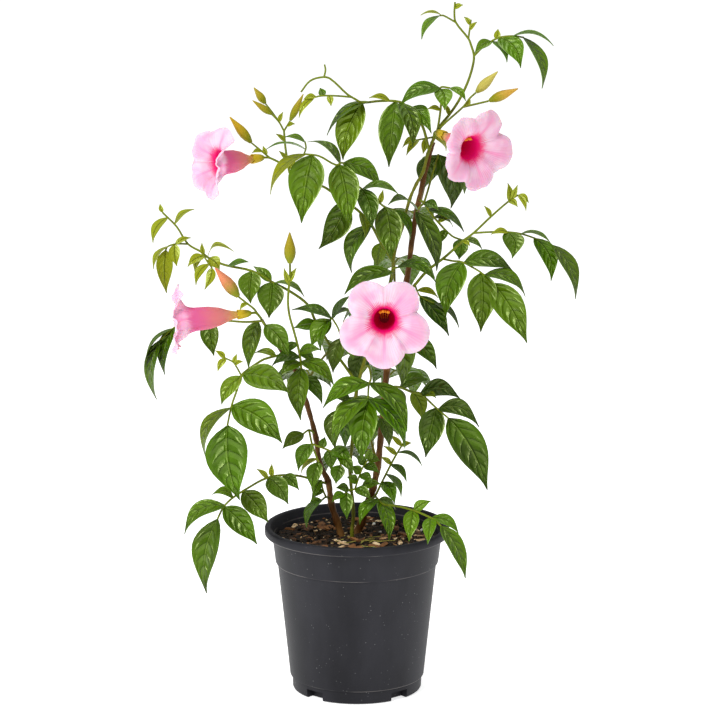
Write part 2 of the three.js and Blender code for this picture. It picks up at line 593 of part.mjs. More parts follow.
// Every spray: the cane it grows from, its twigs [thick, thin (mm), path], its leaflets
// [root x, y, tip x, y, seen width (px), reach (mm)], its buds and the flowers it carries.
const SPRAYS = {
  top_shoot: {
    cane: 'cane_middle',
    twigs: [
      [1.2, 0.8, [
        [434, 138, -6], [440, 126, -6], [449, 115, -6], [458.6, 101, -5], [467, 84, -4], [472, 69, -3],
        [474, 56, -2], [471, 45, -1], [468.4, 38.6, 0], [455.8, 22.4, 0], [454.4, 14, 0], [455, 2, 0],
      ]],
      [0.8, 0.7, [[455.8, 22.4, 0], [443.8, 15.7, -3], [440, 15.5, -4]]],
      [0.9, 0.7, [[474, 56, -2], [483.8, 46.3, -6], [498, 38, -10], [512, 36, -12], [524, 37.5, -12]]],
      [0.8, 0.7, [[468.4, 38.6, 0], [471, 19.6, 2]]],
      [1.0, 0.8, [[436, 134, -6], [438, 127, -10], [441, 104, -14], [440, 88, -16], [450, 88, -17]]],
      [0.9, 0.8, [[434, 138, -6], [441.7, 126.3, -12], [463, 107, -18], [470, 98, -20], [476, 92.6, -20]]],
      [0.9, 0.8, [[463, 107, -18], [476, 104, -20], [488.7, 101, -20]]],
      [1.2, 1.1, [[434, 138, -6], [434.5, 133, -8], [436, 131.5, -10]]],
      [0.8, 0.7, [[434, 137, -6], [417, 140, 0]]],
    ],
    leaflets: [
      [442, 15, 420.7, 15.2, 4, -4], [440, 17, 421.7, 39.3, 9, -8], [454.5, 8, 463, 5, 5, -2],
      [470, 30, 477, 22, 4, -3], [470.5, 25, 464, 17, 4, 3],
      [492, 42, 474.7, 53.3, 9, -4], [492, 41, 507, 62.4, 9, -6], [499, 38, 520.7, 68, 20, -12],
      [512.6, 36, 553.6, 46, 10, -4], [523, 38.6, 542, 88.7, 14, -8], [496, 39, 498, 29, 6, 2],
      [440, 88, 400, 106, 17, -6, 418, 92.5], [440, 89, 444.5, 110, 17, -10],
      [450, 88, 465.6, 101, 8, -4], [441, 110, 427.7, 109, 5, -4], [467, 107, 470, 98, 4, -2],
      [449, 115, 445, 104, 4, 3],
      [417, 140, 402.5, 147.5, 6.4, -4, 409, 141], [419, 139.5, 406.5, 155.5, 6, -4],
      [426, 138.5, 423, 154, 6.4, -2], [434.5, 137, 446, 151, 6.4, 8],
    ],
    buds: [
      [476, 92.6, 498, 71.3, 10, -20, -4],
      [488.7, 101, 518.5, 88.4, 10, -20, -4],
    ],
    flower: 'right',
  },
  upper_left_shoot: {
    cane: 'cane_middle',
    twigs: [
      [1.2, 0.8, [
        [429, 150, -6], [422, 125, -9], [410, 110, -11], [400, 102, -12], [380, 101, -14],
        [362, 102.5, -16], [355, 99, -16], [347, 94, -15], [330, 78.6, -14], [321.7, 77.2, -14],
        [310, 81, -14], [301, 92, -14],
      ]],
      [0.8, 0.7, [[324, 77.4, -14], [325.5, 70, -13], [324.5, 64.5, -12]]],
      [0.8, 0.7, [[351, 97, -16], [333, 95.7, -20], [320, 96, -22], [313, 98, -22]]],
    ],
    leaflets: [
      [395, 104.5, 388.9, 167, 25, -16, 393.5, 134], [399, 105, 412.6, 147, 20, -20, 409.5, 121.5],
      [408, 109, 431.4, 133.5, 17, -10, 422, 115.5], [390, 104.5, 369, 98, 6, -6],
      [371.7, 103, 326.9, 135.6, 13, -6, 346, 113.5], [362, 106, 343, 160, 25, -6, 347.5, 132],
      [316, 96, 303.5, 99.6, 5, -2], [314, 98, 299, 118, 6, -5], [324, 96, 320, 88, 7, 2],
      [329, 96, 331, 106, 6, -4],
    ],
    buds: [],
  },
  flower_shoot: {
    cane: 'cane_middle',
    twigs: [
      [1.3, 0.9, [
        [393, 262, -6], [381, 243, -11], [370, 223, -13], [355, 208, -14], [331, 191.5, -14],
        [324, 187, -14], [305, 180, -14], [291, 175, -13], [288, 163, -12], [285.5, 148, -11],
        [284, 131, -10],
      ]],
      [0.8, 0.7, [[284, 131, -10], [279, 122, -11], [272, 114.5, -12]]],
      [0.8, 0.7, [[279, 122, -11], [272, 112, -9], [265.6, 103.8, -8]]],
      [0.8, 0.7, [[284, 131, -10], [290, 121, -10]]],
      [0.9, 0.9, [[288, 167, -12], [270, 158, -14], [264, 157.5, -15]]],
      [0.8, 0.7, [[270, 158, -14], [259, 149, -13], [251.6, 143, -12]]],
      [0.9, 0.8, [[349, 203, -14], [351, 182, -19], [343, 163, -23], [336, 165, -24], [319, 156, -26],
        [304, 154, -27]]],
      [0.7, 0.7, [[304, 154, -27], [306, 148, -27], [305, 141.5, -27]]],
    ],
    leaflets: [
      [312, 154, 301.5, 223, 34, -16, 306, 187.5], [338.6, 165.6, 348.6, 225, 29, -14, 345, 193],
      [343, 163, 380.4, 187, 19, 7, 366, 170.5], [340, 163, 307.4, 142, 11, 8, 326.5, 147],
      [305, 142, 285, 137, 7, -2], [304, 149, 266, 149.5, 7, -6], [306, 154, 270.4, 194.5, 14, -2],
      [345, 203, 318.7, 249, 25, -10, 337, 228.5], [371, 225, 351.8, 273, 18, -4, 353.5, 246],
      [360, 213, 365, 237.5, 8, -6], [381, 243, 377, 267, 14, 6], [285, 141, 276, 134, 4, -3],
      [288, 160, 279, 151, 4, -3], [266, 156, 263, 146, 4, 2], [289, 169, 296, 160, 4, 2],
      [262, 151, 252, 153, 4, -3], [279, 122, 283, 112, 4, -2], [287, 126, 295, 124, 4, -2],
    ],
    buds: [
      [251.6, 143, 229.5, 116.6, 10, -12, -4],
      [265.6, 103.8, 253.7, 87.3, 8, -8, 0],
      [272, 114.5, 252.3, 100.3, 7, -12, -3],
      [290, 121, 303.5, 93.7, 7.5, -10, 0],
    ],
    flower: 'upper_left',
  },
  glossy_leaf: {
    cane: 'cane_middle',
    twigs: [
      [1.0, 0.8, [[406, 213, -6], [397, 210.6, -14], [385, 207, -21], [376, 200, -23], [358, 186, -24]]],
    ],
    leaflets: [
      [385, 207, 391, 259.6, 26, -12], [363, 188, 398, 194, 12, -6, 381, 186.5],
      [361, 189, 372, 228, 19, -8, 368.5, 207], [380, 203, 383, 190, 5, -2],
      [394, 210, 410, 240, 10, -3],
    ],
    buds: [],
  },
  side_leaves: {
    cane: 'cane_right',
    twigs: [
      [1.1, 0.8, [[419.5, 200, 2], [424, 203, -4], [430, 212, -8], [438, 222, -6], [452, 236, -1],
        [462, 240, 2]]],
      [0.9, 0.8, [[424, 203, -4], [420, 207, -12], [416, 212, -15]]],
      [0.9, 0.8, [[424, 203, -4], [428, 190, 2], [433, 172, 6], [438.5, 154, 8]]],
    ],
    leaflets: [
      [416, 212, 436.7, 271, 20, -6, 431, 240], [417, 210, 388, 205, 11, -12, 402.5, 200],
      [424, 203, 438.8, 210.6, 9, -8], [427, 210, 464, 232, 13, -6, 448.5, 217],
      [433, 218, 453, 227, 7, 4], [462, 240, 482, 249, 8, -4], [460, 240, 459, 259.6, 15, -4],
      [438, 222, 452, 216, 6, 2], [438, 155, 424, 190, 22, 4, 426.5, 171],
      [439, 155, 450.8, 208.4, 25, 8, 452.5, 180], [446, 230, 440, 244, 8, -4],
    ],
    buds: [],
  },
  right_shoot: {
    cane: 'cane_right',
    twigs: [
      [1.4, 0.8, [
        [403, 297, 2], [413, 287, 0], [427, 271, -4], [445, 257, -6], [463, 241, -8], [473.6, 233, -9],
        [491, 216.6, -9], [509, 201, -8], [518, 195, -8],
      ]],
      [0.9, 0.7, [[474, 233, -9], [491, 232, -12], [506, 232, -14], [520, 233.6, -14], [534, 238, -14],
        [552, 245, -14]]],
      [0.9, 0.8, [[443, 259, -6], [453, 261, -12], [462, 262, -16], [473.6, 268, -18], [481.6, 273, -20],
        [492, 283, -22]]],
      [0.8, 0.7, [[415, 285, 0], [420, 296, -4], [434, 303, -6]]],
    ],
    leaflets: [
      [508, 232, 491, 234.5, 6, -4], [506.6, 232, 512, 258.6, 20, -8, 514, 244],
      [521, 233, 550.7, 243.4, 8, -4], [534, 239, 551, 281, 18, -8, 547.5, 257.5],
      [553, 246, 575.4, 299, 17, -6, 568, 270], [462, 262, 446, 316, 28, -10, 448, 286.5],
      [464, 262, 513, 271.4, 20, 2, 490, 260], [481, 273, 480.7, 332, 29, -12, 481.5, 301.5],
      [484, 275, 525.4, 297, 16, 0, 509, 278.5], [493, 284, 527, 343, 29, -12, 513, 310.5],
      [509, 201, 507.7, 183, 6, 2], [512, 199, 517.5, 185, 5, -2], [509, 201, 517.5, 207, 6, -4],
      [518, 195, 528.7, 203, 6, -2], [518, 195, 526, 211, 5, -5],
      [420, 296, 449, 336, 18, -8, 435.5, 315], [434, 303, 459, 328, 9, -4, 449, 312.5],
      [420, 289, 438, 298, 6, 3], [491, 217, 484, 206, 4, 2], [463, 241, 470, 246, 4, -2],
    ],
    buds: [],
  },
  front_stalk: {
    cane: 'cane_middle',
    twigs: [
      [1.1, 1.0, [[392, 274, -6], [391, 276, -12], [388, 296, -16], [385, 314, -14], [384.3, 317, -13]]],
      [0.9, 0.8, [[391, 278, -13], [393, 269, -16], [397, 267.5, -18]]],
      [0.9, 0.8, [[385.6, 310, -14], [396, 326, -13], [406, 339, -13]]],
    ],
    leaflets: [
      [389, 271, 344.5, 294.5, 20, -12, 365.5, 278], [397, 267.5, 436, 282.7, 15, -8, 418, 267],
      [405, 338, 436.4, 369, 18, -2, 425, 350.5], [399, 328, 401.3, 386, 23, 4, 403, 357],
      [389, 306, 418, 300, 14, 6],
    ],
    buds: [],
    flower: 'front',
  },
  central_leaf: {
    cane: 'cane_middle',
    twigs: [
      [1.0, 0.8, [[361.5, 372, -8], [368, 366, -18], [371, 378, -28], [368.8, 385, -31], [368, 401, -34]]],
    ],
    leaflets: [
      [369, 383, 323, 408, 20, -8], [370, 383, 407, 432, 20, -10], [368, 398, 332.3, 444.7, 20, -9],
      [368, 399, 405, 449, 20, -6], [368, 401, 361.7, 461, 27, -14],
    ],
    buds: [],
  },
  shaded_leaf: {
    cane: 'cane_middle',
    twigs: [[0.9, 0.8, [[366, 357, -8], [367, 352, -4], [365, 350, -3]]]],
    leaflets: [
      [365, 350, 355, 382, 21, 2], [365, 350, 352, 339, 11, -1],
    ],
    buds: [],
  },
  behind_leaf: {
    cane: 'cane_middle',
    twigs: [
      [1.0, 0.8, [[355, 405, -8], [350, 400, -15], [344, 404, -18], [337, 410, -19]]],
      [0.9, 0.8, [[355, 405, -8], [364, 408, -16], [380, 418, -20]]],
    ],
    leaflets: [
      [337, 410, 335.5, 449.5, 18, -3, 332, 428], [344, 405, 345, 449, 14, -2],
      [380, 418, 389, 447, 12, -2], [372, 413, 372, 440, 12, -2], [350, 401, 330, 396, 9, 0],
      [350, 400, 338, 424, 10, -5], [364, 408, 356, 432, 10, -4],
    ],
    buds: [],
  },
  left_shoot: {
    cane: 'cane_middle',
    twigs: [
      [1.3, 0.8, [
        [358, 385, -8], [345, 366, -2], [333, 350, -1], [315, 320, -3], [308, 305, -5], [291, 292, -8],
        [272, 282, -9], [252, 271, -8], [225, 265, -6], [208.8, 258, -4], [201.4, 252, -2],
        [188, 244, 0], [176.5, 226.5, 3], [162.4, 212.4, 5],
      ]],
      [0.9, 0.8, [[319, 327, -3], [326, 323, -9], [332, 318, -12]]],
      [0.8, 0.7, [[332, 318, -12], [338, 328, -11], [341, 338, -10]]],
      [0.8, 0.7, [[188, 244, 0], [176, 244, -4], [168, 246.4, -6], [165.7, 250, -7]]],
      [0.8, 0.7, [[201.4, 252, -2], [207, 261, -6], [212, 268, -8]]],
    ],
    leaflets: [
      [331.5, 318, 291.7, 310, 13, -2, 313, 310.5], [332, 318, 350, 296, 10, -6],
      [332, 318, 352, 311, 8, -8], [331, 320, 311.6, 347, 18, -2], [331, 320, 321, 351, 10, -8],
      [318, 324, 294, 328, 12, -4, 305, 325], [341, 338, 333, 373, 16, -2], [340, 337, 353, 360, 14, 2],
      [318, 326, 322, 345, 9, 5], [252, 271, 250.7, 303.5, 22, -6],
      [228, 266, 248.6, 262, 8, -5, 239, 263], [271.7, 282, 269, 318, 26, -7, 271, 299.5],
      [271, 282, 253.5, 266.5, 10, 4], [274, 283, 304.3, 297, 9, -4], [175, 224, 194.3, 209.3, 8, -2],
      [167, 218, 153, 243, 10, -4, 156.5, 228.5], [162.4, 212.4, 160, 204, 4, 2],
      [174.8, 244, 177, 266.3, 11, -4], [169, 246, 153.5, 269.2, 7, -6],
      [165.7, 250, 166.5, 293, 15, -6], [175, 244, 191, 238, 5, 4], [204, 256, 187.7, 266.8, 9, -5],
      [203, 255, 195, 272, 7, -1], [208.8, 264, 196, 285.4, 9, -4],
      [212, 268, 204.7, 289.6, 9, -5, 210.5, 278.5], [208, 257, 233.7, 251.4, 8, -4, 217, 246],
      [208.8, 258, 219.6, 269.7, 12, -3], [204, 254, 202, 242.7, 4, 0],
    ],
    buds: [],
  },
  bud_shoot: {
    cane: 'cane_left',
    twigs: [
      [1.1, 0.9, [
        [305, 400, -7], [302, 385, -15], [300.7, 362, -19], [298.4, 348.4, -20], [294, 331.5, -22],
        [289.3, 314.7, -23], [288, 299, -24], [290, 275, -24], [290, 264, -24],
      ]],
    ],
    leaflets: [
      [300.7, 368, 300.7, 420.4, 21, -12], [301, 361.5, 334, 386, 16, -5],
      [300, 363, 280.4, 376.4, 12, -6], [299, 357, 272, 366, 12, -5], [302, 376, 322, 404, 14, 2],
      [289, 284, 284, 268, 5, -2], [289, 282, 296.5, 268, 5, 2], [299, 353, 321, 350, 10, -4],
      [299, 352, 314, 364, 9, 2], [297, 343, 286, 354, 8, -2],
    ],
    buds: [[290, 264, 289.7, 232, 12, -24, 0]],
  },
  lower_left_leaf: {
    cane: 'cane_left',
    twigs: [
      [1.1, 0.8, [
        [285, 354, -12], [264.7, 359, -24], [256, 364, -28], [246, 371, -32], [242, 375, -34],
        [237, 390, -37], [231.5, 406, -40], [227.4, 425.5, -43],
      ]],
      [0.8, 0.7, [[241.5, 376, -34], [236, 366, -35], [233, 362, -35], [225, 358, -35]]],
    ],
    leaflets: [
      [243, 375, 289.6, 393.4, 26, -7, 268, 379.5], [241.5, 376, 221.6, 404.6, 15, -4, 227.5, 389],
      [232, 406, 282, 443, 32, -7, 260, 420.5], [231, 407.5, 206, 458, 14, -6, 209.5, 429],
      [227.4, 425.5, 239.6, 500, 41, -10, 227, 463], [225, 358, 215.3, 350.7, 5, 0],
      [226, 358.5, 217.8, 371.5, 6, -3], [234, 363, 237, 354, 4, 0], [235, 365, 243, 362, 4, -4],
      [276, 356, 254.7, 353, 8, 4],
    ],
    buds: [],
  },
  left_flower_shoot: {
    cane: 'cane_left',
    twigs: [
      [1.1, 1.0, [[262, 320, -14], [260, 317, -19], [256, 313, -23], [251.5, 313, -25]]],
      [0.9, 0.8, [[259, 316, -20], [254, 309, -26], [247.8, 304, -28], [238.7, 297, -29]]],
      [1.0, 0.7, [[262, 321, -14], [246, 322, -10], [230, 321, -3], [205, 320, 8], [190, 322, 12],
        [175, 327, 13], [160, 340, 13]]],
      [0.8, 0.8, [[262, 320, -14], [263, 322, -21], [265, 325, -23]]],
    ],
    leaflets: [
      [258, 322, 248.6, 368, 18, -2, 252.5, 343.5], [265, 325, 288.5, 356, 20, -5],
      [208, 321, 214, 356, 18, -6, 210.5, 338], [173, 328, 145.2, 368.7, 7, 0],
      [160, 340, 156.7, 399.6, 13, -4, 153, 369.5], [175, 328, 165, 375, 14, -4],
      [247, 304, 240, 310, 4, -3],
    ],
    buds: [[238.7, 297, 215, 267.6, 13, -29, -4]],
    flower: 'left',
  },
  rim_leaf: {
    cane: 'cane_left',
    twigs: [
      [1.1, 0.8, [
        [328.5, 484, 0], [312.4, 479.4, -10], [297, 475.6, -17], [277, 475.6, -24], [263.4, 479.4, -28],
        [249.6, 487, -32], [232.8, 497.8, -36], [223.6, 507, -38], [217.5, 519, -40],
      ]],
    ],
    leaflets: [
      [283, 475.6, 299, 490, 12, -5, 291.5, 481], [267.7, 478, 256.5, 469, 5, -2],
      [272, 477, 272, 463.8, 5, 2], [268, 477, 288.3, 504.3, 20, -10, 279.5, 489.5],
      [242, 490, 268, 522.3, 22, -7, 256, 506.5], [233, 497, 212, 494.7, 9, -3, 223, 491],
      [224.6, 504.6, 184.5, 534.5, 18, -2, 199.5, 512.5], [223.6, 507, 257, 544.4, 23, -6, 241, 525],
      [217.5, 519, 206.7, 593.4, 26, -10, 207, 555],
    ],
    buds: [],
  },
  right_leaf: {
    cane: 'cane_right',
    twigs: [
      [1.2, 0.8, [
        [385.5, 388, 2], [398.6, 387, -6], [412.7, 392.4, -14], [420, 393.4, -18], [436, 407.7, -24],
        [448.6, 418.4, -28],
      ]],
    ],
    leaflets: [
      [420, 393, 460.7, 399.5, 18, -4, 441, 389], [412, 392.6, 422, 420, 15, -2],
      [436, 408, 425.6, 457.5, 25, -10], [438, 409, 479.3, 427.4, 18, -2, 460, 408.5],
      [448.3, 418.4, 487.3, 490, 33, -12, 471, 451.5], [424, 396, 436, 398, 7, -8],
      [391, 387, 401.3, 414, 14, 4], [400, 386.5, 428, 382, 13, 4, 415, 379],
    ],
    buds: [],
  },
  low_right_shoot: {
    cane: 'cane_right',
    twigs: [
      [1.1, 0.8, [[369, 500, 5], [375, 496, -2], [381, 484, -6], [394, 458.6, -10], [402.4, 444.5, -12]]],
      [1.0, 0.8, [[375, 496, -2], [383, 504, -12], [396, 506, -24], [413.7, 510.5, -40], [433, 519, -54],
        [441, 526, -60]]],
    ],
    leaflets: [
      [397, 452, 422, 466, 7, -4], [390.5, 464, 406.4, 481.7, 8, -5], [386, 474, 401, 497.6, 8, -5],
      [402, 446, 411.6, 443, 5, -2], [402, 446, 390, 435, 5, 0], [396, 454.4, 383.5, 446, 5, -3],
      [391, 464, 381, 457, 5, -4], [382, 482, 394.6, 504, 13, -8], [378, 500, 395.4, 510, 8, 4],
      [376, 501, 359.5, 524.5, 13, -12], [378, 502, 389, 540, 16, -14], [413.7, 511, 431, 501, 10, -2],
      [413, 510.5, 409, 541.4, 15, -12], [430, 518, 427.7, 544, 13, -14],
      [431, 518, 458.6, 534, 12, -4, 447.5, 522], [441.7, 526.6, 465.3, 578.5, 18, -10, 456, 550.5],
    ],
    buds: [],
  },
  basal_left: {
    cane: 'cane_left',
    twigs: [
      [1.0, 0.8, [[330, 499, 0], [326, 497, -6], [322, 500, -10]]],
      [0.9, 0.8, [[326, 497, -6], [323, 490, -8], [321, 480, -9]]],
    ],
    leaflets: [
      [324, 500, 306.5, 527.7, 11, -14], [323, 490, 311.6, 499, 8, -4], [322, 500, 309.5, 508, 8, 2],
      [321, 480, 314, 497, 10, -4],
    ],
    buds: [],
  },
  basal_middle: {
    cane: 'cane_middle',
    twigs: [
      [1.0, 0.8, [[351.5, 492, -8], [348, 490, -13], [345, 494, -16]]],
      [0.9, 0.8, [[348, 490, -13], [355, 489, -13], [362, 486, -12]]],
      [0.8, 0.7, [[355, 489, -13], [359, 477, -15], [363, 467, -17], [368, 460, -18]]],
    ],
    leaflets: [
      [346, 492, 346.8, 519, 13, -8], [355, 489, 371, 500, 10, -5], [362, 486, 381, 484, 10, -4],
      [345, 494, 332, 502, 8, -4], [349, 490, 336, 488, 9, -6], [358, 482, 347, 477, 9, -3],
      [361, 473, 352, 466, 9, -1], [360, 475, 372, 484, 9, -6], [365, 464, 357, 455, 9, -2],
      [364, 466, 379, 473, 9, -4], [368, 460, 380, 461, 9, -2], [368, 460, 371, 448, 8, 0],
    ],
    buds: [],
  },
  low_left_leaf: {
    cane: 'cane_left',
    twigs: [
      [1.0, 0.8, [[315, 434, -4], [309, 430, -10], [303, 434, -12]]],
      [0.9, 0.8, [[309, 430, -10], [312, 444, -14], [317, 458, -15], [319, 462, -15]]],
      [0.9, 0.8, [[312, 444, -14], [328, 450, -15], [338, 456, -16], [341, 466, -17]]],
    ],
    leaflets: [
      [304, 434, 282.5, 448.8, 13, -6, 292, 440], [312, 444, 298.3, 471, 15, -4, 302.5, 455.5],
      [317, 459, 300.8, 475.4, 5, 4], [319, 462, 313, 490, 15, -6], [330, 451, 352, 462, 13, -3],
      [328, 450, 331, 470, 12, -3], [341, 465, 336, 484, 14, -4], [322, 448, 325, 437, 8, 2],
      [338, 456, 353, 474, 11, -5], [334, 453, 346, 447, 8, -3],
    ],
    buds: [],
  },
};

// Each flower: drawn place of its foot, picture place of its mouth with how far that lies behind
// the foot (mm), its lobes, whether the throat can be seen. A lobe is its angle about the axis
// (degrees), its reach from the axis (mm) and how far it leans forward (degrees).
const FLOWERS = {
  front: {
    foot: [384.3, 317, -13],
    mouth: [384.3, 319.8, -45],
    lobes: [[-90, 39, 3], [-27, 38.5, 0], [52, 35, 4], [131, 35.5, 4], [212, 39, 0]],
    open: true,
  },
  right: {
    foot: [436, 131.5, -10],
    mouth: [469.5, 148, -32],
    lobes: [[-71, 39, 2], [-23, 43, 6], [47, 35, 2], [126, 33, 6], [216, 30, 5]],
    open: true,
  },
  upper_left: {
    foot: [264, 157.5, -15],
    mouth: [221, 163, -21],
    lobes: [[-90, 25, 60], [-14, 29, -22], [63, 34, 18], [120, 36, 24], [180, 32, 30]],
  },
  left: {
    foot: [251.5, 313, -25],
    mouth: [189, 320, -9],
    lobes: [[-74, 25, 42], [0, 30, 8], [72, 29, 8], [128, 30, 14], [196, 30, 32]],
  },
};

// Leaves by rule, at the back.
// Where each back shoot leaves its cane, which way it grows (degrees), how far up and out (mm).
const BACK_SHOOTS = [
  { name: 'back_shoot_1', cane: 'cane_right', from: [383, 420], azimuth: 84, height: 34, out: 54 },
  { name: 'back_shoot_2', cane: 'cane_left', from: [302, 390], azimuth: 66, height: 30, out: 52 },
  { name: 'back_shoot_3', cane: 'cane_right', from: [395, 330], azimuth: 90, height: 60, out: 58 },
  { name: 'back_shoot_4', cane: 'cane_right', from: [411, 245], azimuth: 74, height: 75, out: 60 },
  { name: 'back_shoot_5', cane: 'cane_right', from: [377, 467], azimuth: 100, height: 32, out: 52 },
];
const BACK_LEAVES = 2;
const BACK_LEAF_LENGTH = 34;
const BACK_LEAF_WIDTH = 17;

/** A pinnate leaf: a stalk with pairs of leaflets and one at its end, leaning down and out. */
function pinnateLeaf(root, azimuth, length, seed) {
  const heading = new THREE.Vector3(Math.cos(azimuth), Math.sin(azimuth), 0);
  const across = new THREE.Vector3(-heading.y, heading.x, 0);
  const place = (share) =>
    root
      .clone()
      .addScaledVector(heading, length * share)
      .addScaledVector(UP, length * (0.34 * share - 0.5 * share * share));
  const stalk = stem([place(0), place(0.5), place(1)], 0.9, 0.8, TWIG_SIDES);
  const face = UP.clone().addScaledVector(heading, 0.8);
  const solids = [stalk];
  [0.45, 0.85].forEach((share, pair) => {
    [-1, 1].forEach((hand) => {
      const from = place(share);
      const reach = BACK_LEAF_LENGTH * (0.8 + 0.25 * chance(seed + pair * 2 + hand));
      const tip = from
        .clone()
        .addScaledVector(across, hand * reach * 0.74)
        .addScaledVector(heading, reach * 0.42)
        .addScaledVector(UP, -reach * 0.5);
      solids.push(blade(from, tip, BACK_LEAF_WIDTH * (reach / BACK_LEAF_LENGTH), face, SMALL_STATIONS));
    });
  });
  const end = place(1)
    .addScaledVector(heading, BACK_LEAF_LENGTH * 0.75)
    .addScaledVector(UP, -BACK_LEAF_LENGTH * 0.75);
  solids.push(blade(place(1), end, BACK_LEAF_WIDTH * 1.1, face, SMALL_STATIONS));
  return fuse(solids);
}

function backShoot({ cane, from, azimuth, height, out }, number) {
  const root = at(nearestOn(CANES[cane].path, from[0], from[1]).place);
  const lean = THREE.MathUtils.degToRad(azimuth);
  const place = (share) =>
    root
      .clone()
      .add(new THREE.Vector3(Math.cos(lean), Math.sin(lean), 0).multiplyScalar(out * share))
      .addScaledVector(UP, height * (share - 0.25 * share * share));
  const path = [place(0), place(0.35), place(0.7), place(1)];
  const solids = [stem(path, 1.2, 0.9, TWIG_SIDES)];
  for (let leaf = 0; leaf < BACK_LEAVES; leaf += 1) {
    const share = 0.3 + (0.7 * leaf) / (BACK_LEAVES - 1);
    const swing = (leaf % 2 === 0 ? 1 : -1) * (0.75 - 0.5 * share);
    solids.push(pinnateLeaf(place(share), lean + swing, 34, number * 31 + leaf * 7));
  }
  return grown(fuse(solids), cane);
}

// Building.
function caneSolid({ path, radii }, grow = 0) {
  return stem(path.map(at), radii[0] + grow, radii[1] + grow, CANE_SIDES);
}

function caneRoom(name) {
  return caneSolid(CANES[name], GAP);
}

/** A spray with its root cut to the bark of its cane. */
function grown(solid, cane) {
  return largestBody(solid.subtract(caneRoom(cane))).asOriginal().simplify(FINEST);
}

function spray({ cane, twigs, leaflets, buds, flower }) {
  const paths = twigs.map(([, , path]) => path);
  const solids = twigs.map(([first, last, path]) => stem(path.map(at), first, last, TWIG_SIDES));
  leaflets.forEach((leaflet) => solids.push(pictureLeaflet(leaflet, paths)));
  buds.forEach((one) => solids.push(bud(one)));
  if (flower) {
    solids.push(calyx(FLOWERS[flower]));
  }
  return grown(fuse(solids), cane);
}

const FINISHES = {
  pot: { color: 0x38383c, roughness: 0.42, metalness: 0 },
  soil: { color: 0x2b211a, roughness: 0.95, metalness: 0 },
  bark: { color: 0x6b3d20, roughness: 0.75, metalness: 0 },
  leaf: { color: 0x3f6a1c, roughness: 0.35, metalness: 0 },
  petal: { color: 0xf1c6e2, roughness: 0.6, metalness: 0 },
  stamen: { color: 0xcd820a, roughness: 0.6, metalness: 0 },
};

const group = new THREE.Group();
group.name = 'potted_bower_vine';

function addNode(name, solid, finish) {
  const mesh = solid.getMesh();
  const shared = new THREE.BufferGeometry();
  shared.setAttribute('position', new THREE.Float32BufferAttribute(mesh.vertProperties, 3));
  shared.setIndex(Array.from(mesh.triVerts));
  const geometry = shared.toNonIndexed();
  geometry.computeVertexNormals();
  const node = new THREE.Mesh(geometry, new THREE.MeshStandardMaterial(FINISHES[finish]));
  node.name = name;
  group.add(node);
}

const ground = Object.keys(CANES).reduce((body, name) => body.subtract(caneRoom(name)), soil());
addNode('pot', pot(), 'pot');
addNode('soil', largestBody(ground), 'soil');
Object.entries(CANES).forEach(([name, cane]) => addNode(name, caneSolid(cane), 'bark'));
Object.entries(SPRAYS).forEach(([name, plan]) => addNode(name, spray(plan), 'leaf'));
BACK_SHOOTS.forEach((plan, number) => addNode(plan.name, backShoot(plan, number), 'leaf'));
Object.entries(FLOWERS).forEach(([name, flower]) => {
  addNode(`corolla_${name}`, corolla(flower), 'petal');
  if (flower.open) {
    addNode(`stamens_${name}`, stamens(flower), 'stamen');
  }
});

export default group;
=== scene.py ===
"""A bower vine in a black nursery pot: the dressed model over the frame's CAD nodes.

Places are read in a picture 720 px square and drawn sizes are in millimetres. Finished meshes are
in metres, +Z up, with the origin at the centre of the pot's foot.
"""

import logging
import math
from dataclasses import dataclass, field
from enum import Enum
from typing import Callable, Iterable, Sequence
import bpy
import numpy as np
from mathutils import Matrix, Vector, geometry, noise


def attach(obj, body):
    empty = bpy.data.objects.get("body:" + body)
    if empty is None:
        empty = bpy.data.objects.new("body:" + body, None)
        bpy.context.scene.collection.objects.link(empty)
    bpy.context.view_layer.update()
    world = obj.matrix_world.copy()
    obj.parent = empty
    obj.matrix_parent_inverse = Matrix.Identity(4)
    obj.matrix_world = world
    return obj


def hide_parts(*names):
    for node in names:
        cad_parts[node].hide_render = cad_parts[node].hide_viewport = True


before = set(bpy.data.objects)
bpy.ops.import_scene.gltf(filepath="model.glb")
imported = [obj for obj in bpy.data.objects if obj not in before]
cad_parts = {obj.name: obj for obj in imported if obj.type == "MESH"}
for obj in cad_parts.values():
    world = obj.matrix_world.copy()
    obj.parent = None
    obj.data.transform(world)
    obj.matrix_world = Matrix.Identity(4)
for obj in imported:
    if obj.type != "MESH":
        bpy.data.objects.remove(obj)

logging.basicConfig(level=logging.INFO, format="%(message)s")
LOG = logging.getLogger("vine")

MM = 0.001
# A turn in radians, for angles drawn by chance.
TURN = 6.283
ROOT_BODY = "root"
Colour = tuple[float, float, float]
Place = tuple[float, ...]
Band = tuple[float, float]
Row = tuple[float, ...]
Shape = bpy.types.Object
Material = bpy.types.Material
Socket = bpy.types.NodeSocket


def srgb(red: int, green: int, blue: int) -> Colour:
    """Return a screen colour (0 to 255) as the linear colour that a shader takes."""
    parts = (channel / 255 for channel in (red, green, blue))
    return tuple(part / 12.92 if part < 0.04 else ((part + 0.055) / 1.055) ** 2.4 for part in parts)


def shaded(colour: Colour, share: float = 0.4) -> Colour:
    """Return a colour darkened to a share of its light."""
    return tuple(channel * share for channel in colour)


def chance(seed: float) -> float:
    """Return a repeatable number from 0 to 1 for a seed."""
    value = math.sin(seed * 12.9898 + 4.1414) * 43758.5453
    return value - math.floor(value)


